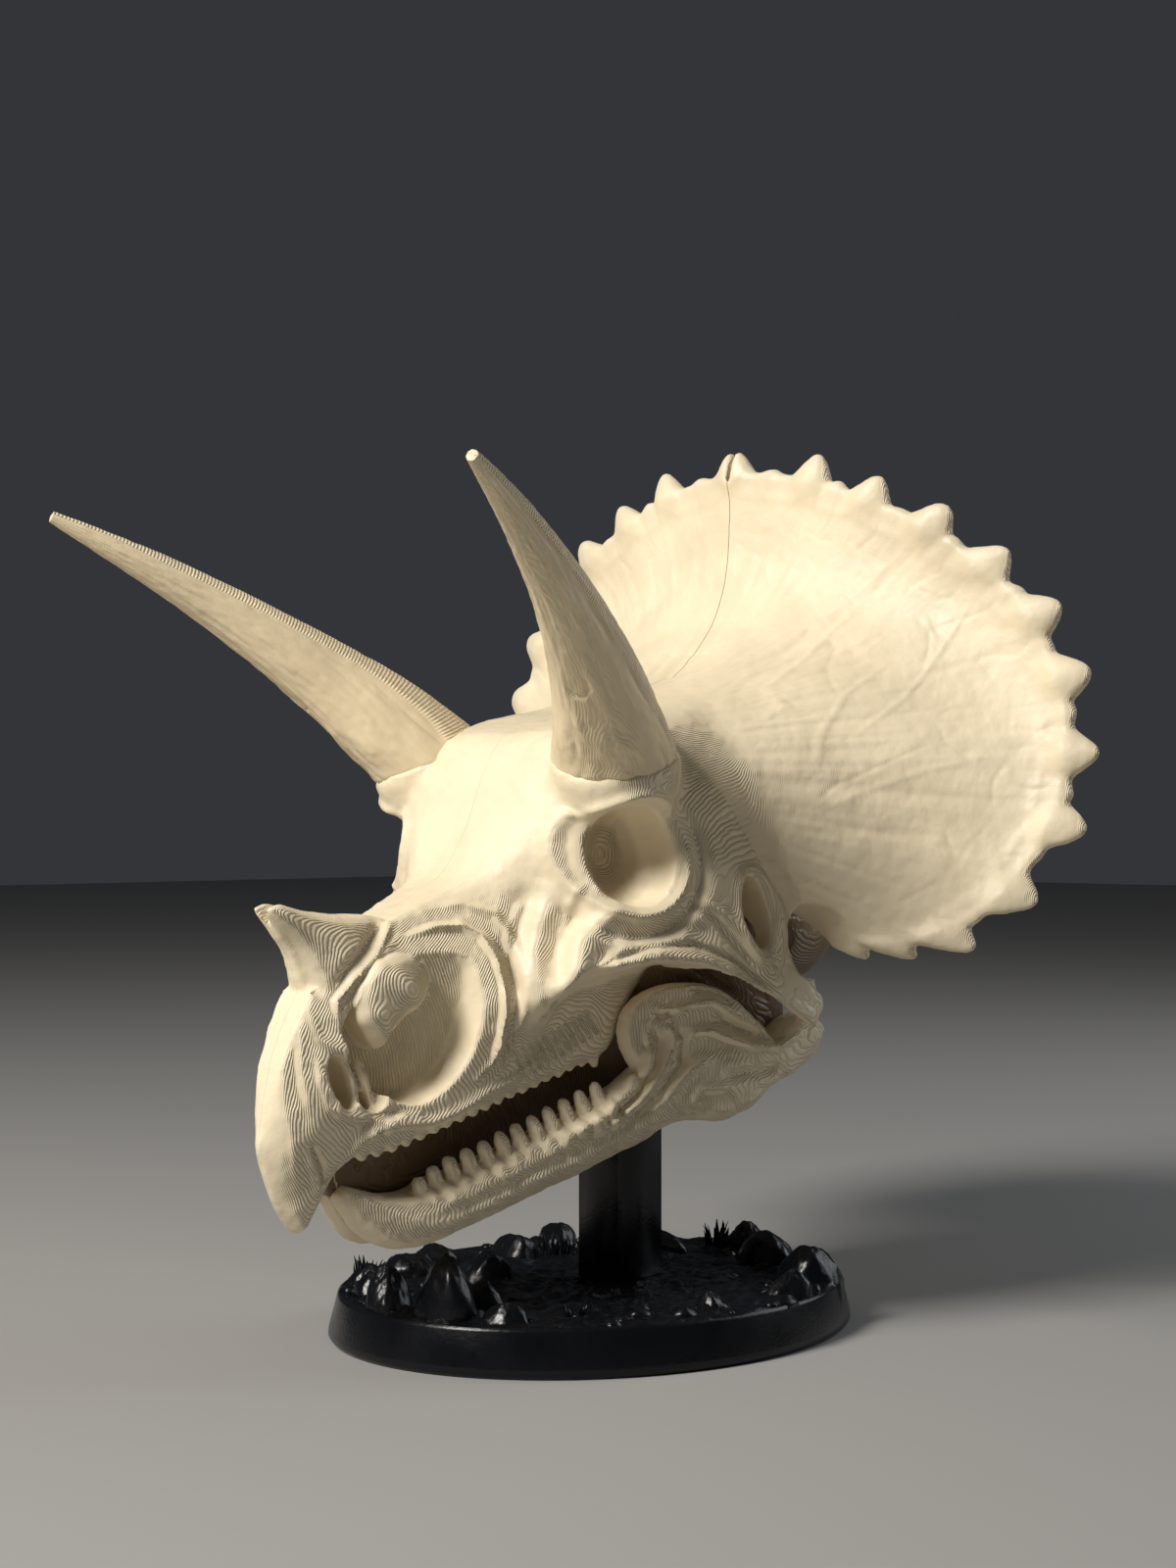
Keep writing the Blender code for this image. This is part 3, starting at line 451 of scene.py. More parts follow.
# frill: polar about a line along Y, angle from straight up
frill = dict(
    axisZ=164.0, start=-4.0, end=134.0,
    root=((0, 14), (45, 22), (90, 40), (115, 48), (131, 54), (134, 55)),
    margin=((0, 88.5), (19, 89), (45, 96), (68, 108), (90, 113.5), (110, 109), (122, 96), (131, 79),
            (134, 75)),
    rootY=((0, 13), (45, 4), (90, -4), (115, 6), (131, 18)),
    rimY=((0, 59.5), (32, 64), (45, 67.5), (68, 74.6), (78, 75.6), (90, 73), (100, 69), (110, 60),
          (120, 49.5), (131, 39)),
    dish=((0, 3.6), (45, 2.4), (90, 1.6), (131, 1.2)), thick=((-0.1, 9), (1, 4.6)), roundRim=1.6,
    spikeSwell=4.2,
    # margin bones: angle, tip radius, half width along the rim in mm
    spikes=((0, 95.2, 6.8), (19, 97.0, 6.0), (32.3, 99.1, 6.0), (45.2, 104.4, 6.2), (56.9, 110.2, 6.6),
            (67.9, 116.6, 6.6), (77.9, 119.6, 6.6), (89.2, 121.1, 6.4), (99.5, 121.0, 6.4),
            (110.4, 116.8, 6.2), (119.9, 108.6, 5.4), (126.2, 96.8, 4.2), (131.6, 87.0, 3.8)))


def frillFront(angle, share):
    # point of the front face: share 0 at the root and 1 at the margin, dished in between
    f = frill
    radius = mix(curveAt(f["root"], angle), curveAt(f["margin"], angle), share)
    rimY, rootY = curveAt(f["rimY"], angle), curveAt(f["rootY"], angle)
    y = rimY - (rimY - rootY) * (1 - share) ** curveAt(f["dish"], angle)
    t = np.radians(angle)
    return np.stack((radius * np.sin(t), y, f["axisZ"] + radius * np.cos(t)), axis=-1)


def spikeHeight(angle):
    # how far the margin stands out beyond its plain curve: blunt triangles, with low knobs between them
    f = frill
    margin = curveAt(f["margin"], angle)
    out = np.zeros_like(margin)
    centres = np.array([a for a, _, _ in f["spikes"]])
    for a, tip, wide in f["spikes"]:
        u = (angle - a) * pi / 180 * margin / wide
        knob = np.clip(1 - (u / 1.22) ** 2, 0, 1) ** 1.7
        out = np.maximum(out, (tip - curveAt(f["margin"], a)) * knob)
    for i, a in enumerate((centres[1:] + centres[:-1]) / 2):
        u = (angle - a - 1.1 * sin(3.7 * i)) * pi / 180 * margin / 3.4
        out = np.maximum(out, (1.3 + 0.7 * sin(2.1 * i)) * np.exp(-u ** 2 * 1.6))
    return out


def frillForm():
    # radial sections: out along the front face, round the rim or spike, back along the rear face
    f = frill
    angle = np.linspace(f["start"], f["end"], 380)[:, None]
    share = np.concatenate((np.linspace(-0.1, 0.9, 40), np.linspace(0.92, 1, 8)))[None, :]
    eps = 0.01
    front = frillFront(angle, share)
    along = frillFront(angle, share + eps * (share < 0.5)) - frillFront(angle, share - eps * (share >= 0.5))
    around = frillFront(angle + 0.5, share) - frillFront(angle - 0.5, share)
    normal = unit(np.cross(along, around))
    normal = normal * np.where(normal[..., 1:2] > 0, -1, 1)
    height = spikeHeight(angle)
    swell = ease(0.9, 1.0, share) * np.clip(height / 8, 0, 1)
    thick = curveAt(f["thick"], share) + f["spikeSwell"] * swell
    front = front + normal * (0.5 * f["spikeSwell"] * swell)[..., None]
    rear = front - normal * thick[..., None]
    outward = unit(frillFront(angle, 1.0) - frillFront(angle, 0.9))[:, 0][:, None, :]
    turn = np.linspace(0, pi, 15)[None, 1:-1, None]
    middle, half = (front[:, -1:] + rear[:, -1:]) / 2, (front[:, -1:] - rear[:, -1:]) / 2
    slim = 1 - 0.25 * np.sin(turn) * np.clip(height / 8, 0, 1)[..., None]
    rim = middle + half * np.cos(turn) * slim + outward * np.sin(turn) * (f["roundRim"] + height[..., None])
    points = np.concatenate((front, rim, rear[:, ::-3]), axis=1)
    # each section lies flat at its own angle, so neighbours can't cross
    radius = np.hypot(points[..., 0], points[..., 2] - f["axisZ"])
    t = np.radians(angle)
    points = np.stack((radius * np.sin(t), points[..., 1], f["axisZ"] + radius * np.cos(t)), axis=-1)
    return gridObject("frillForm", points)


# brow horns
horn = dict(
    base=(37.5, -29.5, 163.5), bend=(64.5, -67.0, 203.5), tip=(87.6, -128.2, 232.1),
    footFacing=(0.2, -0.3, 0.93), length=125,
    radii=((0, 17.4), (0.07, 16.2), (0.2, 13.5), (0.37, 10.5), (0.62, 6.9), (0.82, 4.3), (0.96, 2.3),
           (1, 1.5)),
    rows=230, cols=150, fluteDepth=0.55,
    # raised band along the top and rear: its middle and half width as turns about the curve
    band=(1.22, 1.38), bandHeight=0.45,
    # small U-shaped crack, drawn in mm around and along the horn
    crackTurn=-2.24, crackPlace=0.34,
    crack=[([(-3, 4), (-3.2, 0), (-1, -2.6), (1.6, -2.4), (3, 0.5)], 0.55, -0.6)])


def hornFrame(share):
    # quadratic curve from foot to tip, with its heading and two directions across it
    a, b, c = (np.array(horn[k], float) for k in ("base", "bend", "tip"))
    t = np.asarray(share, float)[..., None]
    centre = a * (1 - t) ** 2 + b * 2 * t * (1 - t) + c * t ** 2
    along = unit((b - a) * (1 - t) + (c - b) * t)
    heading = unit(mix(unit(np.array(horn["footFacing"])), along, ease(0, 0.3, share)[..., None]))
    across = unit(np.cross(heading, (0.0, 1.0, 0.0)))
    return centre, heading, across, np.cross(across, heading)


def collarForm():
    # low ring of bone that the horn's foot stands in
    wide = curveAt(horn["radii"], 0.0)
    rows = []
    centre, heading, across, upright = hornFrame(np.array(0.0))
    a = np.linspace(0, 2 * pi, 72, endpoint=False)[:, None]
    for lift, radius in ((-18, 0.85 * wide), (-9, 0.97 * wide), (-4, wide + 0.5), (-1, wide + 0.8),
                         (0.6, wide + 0.6), (1.0, wide + 0.2)):
        rows.append(centre + heading * lift + radius * (np.cos(a) * across + np.sin(a) * upright))
    return gridObject("collarForm", np.array(rows))


def browHorn(name):
    # rounded section swept along the curve; long flutes deepest near the foot, and a blunt tip
    h = horn
    share = 1 - (1 - np.linspace(0, 1, h["rows"])) ** 1.08
    centre, heading, across, upright = hornFrame(share)
    a = np.linspace(0, 2 * pi, h["cols"], endpoint=False)
    radius = curveAt(h["radii"], share)[:, None] * np.ones(len(a))
    place, turn = np.meshgrid(share, a, indexing="ij")
    ring = np.stack((np.cos(turn) * 9, np.sin(turn) * 9, place * 16), -1).reshape(-1, 3)
    flutes = (noise(ring, 1.9, 11) + 0.6 * noise(ring, 0.95, 12)).reshape(radius.shape)
    pits = noise(ring * (1, 1, 4), 1.3, 13).reshape(radius.shape)
    depth = h["fluteDepth"] * (0.25 + 0.75 * (1 - place) ** 1.2)
    radius = radius + depth * (flutes - 0.35) * ease(0, 0.03, 1 - place) + 0.12 * pits
    radius = radius - 0.5 * (1 - ease(0, 0.012, place))
    arc = (turn - h["band"][0] + pi) % (2 * pi) - pi
    edge = h["band"][1] + 0.10 * noise(ring * (0.2, 0.2, 1), 2.0, 15).reshape(radius.shape)
    band = (1 - ease(-0.07, 0.07, np.abs(arc) - edge)) * ease(0.0, 0.03, place)
    radius = radius + h["bandHeight"] * band * (1 - 0.8 * place)
    arc = (turn - h["crackTurn"] + pi) % (2 * pi) - pi
    u, v = arc * curveAt(h["radii"], place), (place - h["crackPlace"]) * h["length"]
    radius = radius + strokeField(u.ravel(), v.ravel(), h["crack"]).reshape(radius.shape)
    points = centre[:, None] + radius[..., None] * (np.cos(turn)[..., None] * across[:, None]
                                                    + np.sin(turn)[..., None] * upright[:, None])
    tip = points[-1].mean(0) + (points[-1] - points[-1].mean(0)) * 0.45 + heading[-1] * 0.25
    thing = gridObject(name, np.concatenate((points, tip[None])))
    # the last ring again, then the middles of the two ends
    writeAttribute(thing, "along", np.append(np.concatenate((place, place[-1:])), (0, 1)) * h["length"])
    writeAttribute(thing, "band", np.append(np.concatenate((band, band[-1:])), (0, 0)))
    return thing


# teeth
teeth = dict(
    upperCount=19, upperSpan=(9.0, 82.0), upperDrop=2.4, upperRadius=2.2, lowerCount=12,
    lowerSpan=(24.0, 77.5), lowerTip=((24, -11.6), (32, -10.0), (55, -8.0), (77, -6.2)), lowerRadius=2.3)


def pegs(name, low, high, radius):
    # rounded pegs from low to high points, one mesh of closed shells: each a cone under a round cap
    up = np.concatenate((np.linspace(0, 0.75, 6), 0.75 + 0.25 * np.sin(np.linspace(0.2, pi / 2, 7))))
    cap = 0.8125 * np.sqrt(np.clip(1 - ((up - 0.75) / 0.25) ** 2, 0.0, 1))
    size = np.where(up <= 0.75, 1 - 0.25 * up, cap)
    size[-1] = 0.12
    a = np.linspace(0, 2 * pi, 18, endpoint=False)
    things = []
    for foot, top in zip(low, high):
        axis = unit(top - foot)
        along = unit(np.cross(axis, (1.0, 0.0, 0.0)))
        wide = np.cross(along, axis)
        centre = foot + (top - foot) * up[:, None]
        ring = np.cos(a)[None, :, None] * along + 0.95 * np.sin(a)[None, :, None] * wide
        things.append(gridObject(name, centre[:, None, :] + radius * size[:, None, None] * ring))
    return join(things)


def upperTeeth():
    # a row of short pegs under the gum line, the last ones longer
    t = teeth
    s = np.linspace(*t["upperSpan"], t["upperCount"])
    x = curveAt(cranium["gumHalf"], s) * 0.97 - 1.2
    h = curveAt(cranium["gumLine"], s)
    drop = t["upperDrop"] + 2.2 * ease(77, 82, s)
    return pegs("upperTeeth", toWorld(x + 0.4, s, h + 7), toWorld(x - 0.4, s, h - drop), t["upperRadius"])


# lower jaw: curves of one half over s, distances from the glue plane and heights, mm
jaw = dict(
    tip=2.2, end=151.6, stations=150, perSpan=7,
    outer=((2, 4.6), (4, 7), (8, 10), (16, 13.6), (30, 18), (56, 25.5), (80, 34), (100, 41.5), (125, 48),
           (146, 50.5), (152, 49)),
    inner=((3, 0.1), (28, 0.1), (40, 7), (56, 14.5), (80, 23), (100, 31), (125, 38), (152, 43)),
    bottom=((2, -11), (4, -17.5), (8, -23.5), (14, -27.6), (25, -30.5), (56, -29.5), (85, -28),
            (96, -26.5), (104, -29), (112, -32), (119, -32), (128, -29.5), (145, -27.5), (152, -23)),
    top=((2, -5), (5, -5.6), (10, -9.5), (16, -13), (26, -15.4), (60, -13), (82, -10.5), (92, -7),
         (104, -6), (114, -8), (124, -12), (131, -14.5), (140, -13), (146, -13.5), (152, -18)))
# wall that closes the mouth between the two jaws: half width and lower edge
mouthWall = dict(
    half=((-3, 2.0), (4, 2.4), (20, 2.6), (34, 2.8), (42, 3), (50, 5.5), (66, 9.5), (80, 14), (88, 18),
          (96, 26), (102, 31), (112, 35.5), (125, 38), (136, 41), (145, 41), (150, 36)),
    low=((-3, -3), (2, -8), (12, -12), (20, -15.8), (30, -17), (46, -19), (60, -21), (120, -21),
         (136, -20), (150, -15)),
    span=(-3.0, 150.0), rise=9.0)
# the upright plate behind the teeth, (s, h), and the faces between which it stands
coronoid = dict(
    outline=((91, -16), (89, -8), (87.5, 0), (89.5, 7.5), (95, 11.5), (103, 12.2), (111, 10), (118, 6),
             (123, 0.5), (127, -6), (130.5, -13), (131, -21), (110, -24), (96, -22)),
    outer=((82, 34.5), (100, 40.0), (120, 46.0), (140, 49.0)), thick=6.0)
jawJoint = dict(centre=(51.6, 144.5, -10.0), radius=4.6, room=0.35)


def jawBody():
    # inner wall, rounded top, outer bulge and rounded keel at each station
    j = jaw
    s = np.linspace(j["tip"], j["end"], j["stations"])
    inner, outer = curveAt(j["inner"], s), curveAt(j["outer"], s)
    low, high = curveAt(j["bottom"], s), curveAt(j["top"], s)
    closing = 1 - 0.35 * ease(146, 152, s) - 0.5 * (1 - ease(2, 5, s)) ** 2
    middle = (low + high) / 2
    low, high = middle + (low - middle) * closing, middle + (high - middle) * closing
    wide, tall = outer - inner, high - low
    outline = ((inner, low + 0.3 * tall), (inner, high - 0.15 * tall), (inner + 0.35 * wide, high),
               (outer - 0.12 * wide, high - 0.15 * tall), (outer, low + 0.42 * tall),
               (outer - 0.2 * wide, low + 0.06 * tall), (inner + 0.35 * wide, low))
    ring = rounded(np.stack([np.stack(pair, -1) for pair in outline], axis=1), j["perSpan"], closed=True)
    return gridObject("jawBody", toWorld(ring[..., 0], s[:, None], ring[..., 1]))


def coronoidForm():
    # the outline as a plate with softened edges that follows the jaw's outward slant
    c = coronoid
    line = rounded([c["outline"]], 6, closed=True)[0]
    middle = line.mean(0)
    rows = []
    for share, size in ((0.0, 0.9), (0.15, 0.975), (0.4, 1.0), (0.7, 1.0), (0.92, 0.97), (1.0, 0.9)):
        s, h = (middle + (line - middle) * size).T
        rows.append(toWorld(curveAt(c["outer"], s) - c["thick"] * (1 - share) - 0.06 * (h + 10), s, h))
    return gridObject("coronoidForm", np.array(rows))


def wallForm():
    # solid core between the tooth rows, its lower edge rounded
    m = mouthWall
    s = np.linspace(*m["span"], 60)
    half, low = curveAt(m["half"], s), curveAt(m["low"], s)
    high = curveAt(cranium["gumLine"], s) + m["rise"]
    past = np.full_like(s, cranium["past"])
    outline = ((past, high), (half, high), (half, low + 4), (half - 0.4, low + 1.4), (half - 2.0, low),
               (past, low))
    return gridObject("wallForm", toWorld(np.stack([x for x, _ in outline], 1), s[:, None],
                                          np.stack([h for _, h in outline], 1)))


def lowerTeeth():
    # a row of taller pegs on the jaw's top edge
    t = teeth
    s = np.linspace(*t["lowerSpan"], t["lowerCount"])
    x = mix(curveAt(jaw["inner"], s), curveAt(jaw["outer"], s), 0.62)
    return pegs("lowerTeeth", toWorld(x + 0.5, s, curveAt(jaw["top"], s) - 5),
                toWorld(x - 0.3, s, curveAt(t["lowerTip"], s)), t["lowerRadius"])


def sculptJaw(skin):
    # ridges and grooves of the side view, a root below each tooth, then an uneven skin
    _, s, h = toSkull(skin.p)
    outside = ease(0.1, 0.5, skin.normals()[:, 0])
    strokes = [([(94, 4), (93, -2), (91, -7), (85, -12), (75, -15.5), (62, -17)], 1.7, 1.7),
               ([(103, -5), (107, -3), (112, -4.5), (118, -10), (123, -14.5), (131, -18), (140, -17)],
                1.2, 1.5),
               ([(97, 3), (101, 0), (99, -5), (94, -10), (85, -15.5), (72, -19)], 1.1, 1.2),
               ([(95, 2), (97, -2), (94, -7), (87, -13), (76, -17.5)], 1.1, -1.3),
               ([(102, 2), (104, -4), (101, -10), (92, -16), (80, -20)], 1.3, -1.2),
               ([(108, -12.5), (102, -12.5), (98, -14), (90, -18)], 1.3, 1.0),
               ([(91, -1.6), (94, -1.2)], 1.0, -0.9),
               ([(97, 9), (101, 5.5), (108, 5), (115, 3), (121, -3)], 1.2, 0.9),
               ([(98, 5.6), (103, 4.4)], 0.9, -1.5),
               ([(110, 9), (117, 5), (122, -1)], 1.2, -0.9),
               ([(116, -3), (121, -8), (127, -13)], 1.5, -1.6),
               ([(99, -22), (104, -19), (112, -22)], 1.6, 0.9),
               ([(89, -20), (75, -21), (55, -22), (35, -23), (20, -22)], 1.6, -0.6),
               ([(121, -28), (112, -29), (104, -26)], 2.0, 0.7),
               ([(112, -19), (120, -21), (130, -24)], 1.8, -1.0)]
    for k, place in enumerate(np.linspace(*teeth["lowerSpan"], teeth["lowerCount"])):
        foot = -19.5 - 2.2 * sin(1.9 * k)
        strokes.append(([(place, -10), (place + 0.4, -15), (place + 0.9, foot)], 1.5, 0.5))
        strokes.append(([(place + 2.4, -12), (place + 3.4, -18)], 0.8, -0.4))
    amount = 1.45 * outside * strokeField(s, h, strokes)
    amount += 0.35 * cloud(skin.p * (1, 0.45, 1), 5.0, 21) * ease(-30, -12, h + 14) * (h < -9)
    amount += 0.14 * cloud(skin.p, 1.9, 27)
    skin.push(amount)


def lowerJaw(name, voxel):
    # body, plate and teeth melted together, with a cup for the skull's joint knob
    body = jawBody()
    combine(body, coronoidForm(), "UNION")
    radius = jawJoint["radius"] + jawJoint["room"]
    combine(body, ball("cup", jawJoint["centre"], (radius,) * 3, 0.0), "DIFFERENCE")
    melt(join([body, lowerTeeth()]), voxel)
    skin = Skin(body)
    skin.soften(2)
    sculptJaw(skin)
    skin.store()
    body.name = name
    return body


# the halves stop short of the glue plane by glueHalf; nose, beak and frill are parted from the skull here
partings = dict(glueHalf=0.03, frillGlueHalf=0.12, nose=(8.0, 46.5), noseSlope=17.7, noseLength=38.0,
                noseRise=60, beak=4.0, past=(-8.0, 40.0), clear=60.0)


def glueCut(thing, half):
    # what lies on this side of the glue plane
    return combine(thing, block("beyondGlue", (half, -250, -20), (260, 250, 400)), "INTERSECT")


def noseSpace():
    # the wedge that the nose bone fills above the snout: back along its sloping line, and up
    turn, length, rise = radians(partings["noseSlope"]), partings["noseLength"], partings["noseRise"]
    along, up = np.array((cos(turn), sin(turn))), np.array((-sin(turn), cos(turn)))
    corners = [np.array(partings["nose"]) + a * along + b * up
               for a, b in ((-50, 0), (length, 0), (length, rise), (-50, rise))]
    return gridObject("noseSpace", np.array([toWorld(x, *np.array(corners).T) for x in partings["past"]]))


def beakSpace():
    # everything in front of the parting across the snout
    rear, clear = partings["beak"], partings["clear"]
    s, h = np.array(((-clear, -clear), (rear, -clear), (rear, 1.5 * clear), (-clear, 1.5 * clear))).T
    return gridObject("beakSpace", np.array([toWorld(x, s, h) for x in partings["past"]]))


def frillSpace():
    # everything near the frill's sheet, behind a surface that meets the sheet's front face at its root
    f = frill
    angle = np.linspace(-7.0, f["end"] + 2.0, 90)
    root, margin = curveAt(f["root"], angle), curveAt(f["margin"], angle)
    rootY = curveAt(f["rootY"], angle)
    radius = np.stack((root, root, margin + 24, margin + 24), axis=1)
    y = np.stack((rootY + 45, rootY - 2.5, np.full_like(rootY, -12.0), rootY + 130), axis=1)
    t = np.radians(angle)[:, None]
    points = np.stack((radius * np.sin(t), y, f["axisZ"] + radius * np.cos(t)), axis=-1)
    return gridObject("frillSpace", points)


# sculpting of the half skull: lines in the side view (s, h), each with half width and height, mm
def ringAround(centre, radii, start=0, end=360, count=30):
    # oval line round an opening, or a part of one
    a = np.radians(np.linspace(start, end, count))
    return np.stack((centre[0] + radii[0] * np.cos(a), centre[1] + radii[1] * np.sin(a)), -1).tolist()


faceLines = [
    # eye socket: raised rim, then a step down behind and below it
    (ringAround((97.2, 53.4), (15.6, 16.8)), 1.5, 1.7),
    (ringAround((96.6, 53), (21.0, 21.8), 195, 385), 1.8, -1.0),
    (ringAround((97, 53), (25.0, 25.0), 215, 350), 2.2, 0.6),
    # nostril: sharp crest behind and below, softer lip above
    ([(42, 50.5), (50, 50), (56.5, 47.8), (59.4, 44), (59.4, 38.5), (57.2, 31), (53.4, 22), (48.6, 12.5),
      (43, 9.4)], 0.95, 1.8),
    ([(50, 55), (60, 53), (66, 48), (66.0, 40), (61, 30), (57, 20), (52, 11), (45, 5.5)], 1.2, 1.0),
    ([(62.6, 45), (62.6, 38), (59.6, 29), (56, 19), (50.5, 10)], 1.0, -1.4),
    ([(14, 33), (17.5, 38.5), (23, 44), (31, 48.6), (40, 51.5)], 1.1, 1.0),
    # nose horn: crisp rim at its rear edge, hollow side
    ([(13, 37), (15, 43), (21, 46.5), (28, 49), (34, 51.5), (38.5, 54), (42, 56.5)], 0.95, 1.3),
    ([(16, 46), (22, 50), (30, 53), (37, 56)], 1.6, -1.3),
    ([(12, 44), (12.5, 52), (11, 60), (8.5, 67)], 1.8, -0.8),
    ([(12, 30), (9.4, 33), (7, 36), (8, 44)], 1.3, 0.6),
    # valleys and ridges that run from below the horn down to the cheek
    ([(77, 54), (69, 45), (60, 33), (58, 25)], 2.7, -2.0),
    ([(78, 50), (70, 39), (62, 29), (61, 20)], 2.0, 1.4),
    ([(81, 46), (74, 39), (69, 33), (65, 27)], 2.2, -2.4),
    ([(89, 42), (77, 37), (69, 30), (64, 23)], 2.4, 2.0),
    ([(82, 33.5), (76, 31), (70, 26), (66, 20)], 1.8, -1.7),
    ([(73, 50), (66, 43), (61, 36)], 1.0, 0.8),
    ([(84, 50), (78, 44), (73, 38)], 0.9, 0.7),
    # maxilla: a wavy ridge above the teeth, flutes above the rear ones
    ([(3, 1.5), (8, 6.2), (14, 7.4), (21, 6.2), (28, 3.6), (36, 3.4), (44, 4.6), (53, 5), (62, 7), (70, 9)],
     1.4, 1.1),
    ([(8, 10.5), (15, 11), (24, 8.8)], 1.4, -0.8),
    ([(5, 33), (2.5, 26), (2.5, 19), (6, 12.5)], 1.2, 0.7),
    ([(4, 18), (7, 14.4), (12, 11.6), (17, 8.2), (21, 8.8), (25, 6.6)], 1.1, 0.9),
    ([(4.4, 29), (4.2, 23), (5.4, 17)], 0.9, 0.7),
    # cheek: bevelled band above the lower edge, hollow below the socket
    ([(64, 20), (70, 26.5), (80, 30), (90, 29.5), (104, 25), (115, 16), (125, 4), (134, -7)], 0.9, -1.0),
    ([(62, 16), (70, 22), (80, 26.5), (92, 26), (105, 20.5), (118, 9.5), (128, -2), (140, -11)], 1.7, 1.0),
    ([(84, 35), (92, 32.5), (104, 30.5), (111, 24)], 2.4, -1.2),
    ([(112, 34), (119, 26), (124, 14), (131, 2)], 2.0, 1.0),
    ([(107, 37), (114, 28), (119, 18), (124, 9)], 1.5, -0.9),
    # side opening: raised rim and the strut behind it
    (ringAround((129.5, 24), (7.6, 13)), 1.3, 1.1),
    ([(139, 34), (139.5, 24), (137, 14), (131, 7)], 1.8, 1.0),
    # beak: groove at the mouth's corner, long shallow striations
    ([(-4.5, 11), (-3.2, 5), (-3.0, -2)], 0.9, -1.1),
    ([(-6.5, 10), (-5.4, 3), (-5.2, -4)], 1.2, 0.5),
    ([(-2, 38), (-7, 26), (-9.5, 12), (-10, 0)], 1.5, 0.35),
    ([(1, 38), (-3.5, 27), (-5.5, 14)], 1.3, -0.4),
    ([(4, 40), (-0.5, 30), (-2, 20)], 1.2, 0.4),
    # brow and roof
    ([(70, 62), (78, 68), (86, 76)], 2.4, 0.7),
    ([(58, 57), (66, 58), (74, 62)], 1.3, -0.6)]
faceLines += [([(place, 3.0 + 0.1 * (place - 62)), (place - 1.2, 8.0), (place - 3.0, 13.5)], 0.75, -0.75)
              for place in np.arange(58.0, 86.0, 2.6)]


def crackWalk(start, heading, steps, length, seed):
    # wandering line from a start point: heading in degrees, kinked at each step
    line = [start]
    for k in range(steps):
        heading += 70 * (hashed(k, 1, 0, seed) - 0.5) + (55 if hashed(k, 2, 0, seed) > 0.72 else 0)
        reach, turn = length * (0.5 + hashed(k, 3, 0, seed)), radians(heading)
        line.append((line[-1][0] + reach * cos(turn), line[-1][1] + reach * sin(turn)))
    return line


def fanPoint(angle, share):
    # point of the frill's front view, mm from its axis: x out, z up
    radius = mix(curveAt(frill["root"], angle), curveAt(frill["margin"], angle), share)
    return float(radius * sin(radians(angle))), float(radius * cos(radians(angle)))


frillMarks = dict(streaks=44, cracks=20, frontShare=0.55, rearShare=0.3)


def frillLines():
    # lines of the frill's relief in its front view
    lines = []
    for k in range(frillMarks["streaks"]):
        # streaks that fan out from the root
        angle = 4 + 122 * (k + 0.6 * hashed(k, 1, 0, 60)) / frillMarks["streaks"]
        start, end = 0.02 + 0.2 * hashed(k, 2, 0, 60), 0.42 + 0.45 * hashed(k, 3, 0, 60)
        bend = 5 * (hashed(k, 4, 0, 60) - 0.5)
        points = [fanPoint(angle + bend * t * t, mix(start, end, t)) for t in (0, 0.33, 0.66, 1)]
        height = (0.30 if k % 3 else -0.42) * (0.6 + 0.6 * hashed(k, 6, 0, 60))
        lines.append((points, 0.8 + 1.0 * hashed(k, 5, 0, 60), height))
    centres = [a for a, _, _ in frill["spikes"]]
    for k, (low, high) in enumerate(zip(centres, centres[1:])):
        # plate borders inside the margin: a short radial line below each gap and a broken line along the rim
        middle = (low + high) / 2 + 1.5 * sin(2.3 * k)
        deep = 0.80 - 0.10 * hashed(k, 7, 0, 60)
        for places, wide, height in (
                (((middle, 0.97), (middle + 1, 0.9), (middle - 0.6, deep)), 0.65, -0.36),
                (((low + 1.5, deep + 0.03), (middle, deep), (high - 1.5, deep + 0.02)), 0.65,
                 -0.3 if k % 2 else -0.15),
                (((low, 0.93), (middle, 0.915), (high, 0.93)), 1.8, 0.5)):
            lines.append(([fanPoint(*place) for place in places], wide, height))
    for k in range(frillMarks["cracks"]):
        # wandering cracks
        angle, share = 8 + 118 * hashed(k, 1, 1, 61), 0.15 + 0.68 * hashed(k, 2, 1, 61)
        crack = crackWalk(fanPoint(angle, share), 360 * hashed(k, 3, 1, 61), 2 + k % 3, 5.0, 70 + k)
        lines.append((crack, 0.6, -0.36 if k % 4 else 0.4))
    # folds near the root: points as (angle, radius)
    folds = (([(80, 46), (73, 51), (62, 46), (55, 52), (49, 60), (46, 74)], 1.1, 0.6),
             ([(70, 44), (60, 40), (50, 46), (42, 60)], 1.5, -0.5),
             ([(92, 62), (83, 60), (72, 62), (66, 70)], 0.9, 0.45),
             ([(104, 64), (98, 70), (92, 82), (90, 92)], 1.0, 0.45),
             ([(110, 60), (106, 74), (104, 90)], 1.4, -0.45),
             ([(36, 34), (30, 46), (26, 62)], 1.1, 0.5),
             ([(60, 96), (66, 84), (76, 74), (84, 66)], 0.9, 0.5))
    lines += [([(r * sin(radians(a)), r * cos(radians(a))) for a, r in points], wide, high)
              for points, wide, high in folds]
    return lines


# painted shade: openings are painted dark nearer to the glue plane than the first number, and as dark as the
# second
paintedOpeningShade = dict(notch=(47.0, 0.8), temporal=(45.0, 0.9), orbit=(42.0, 0.35))
# painted shade: creases are painted darker too, from this depth on, in mm below their surroundings
creaseShade = dict(least=0.012, span=0.10, strength=0.45)
hornFoot = dict(centre=(37.0, 107.5, 77.4), radius=22.5, width=5.5, top=79)


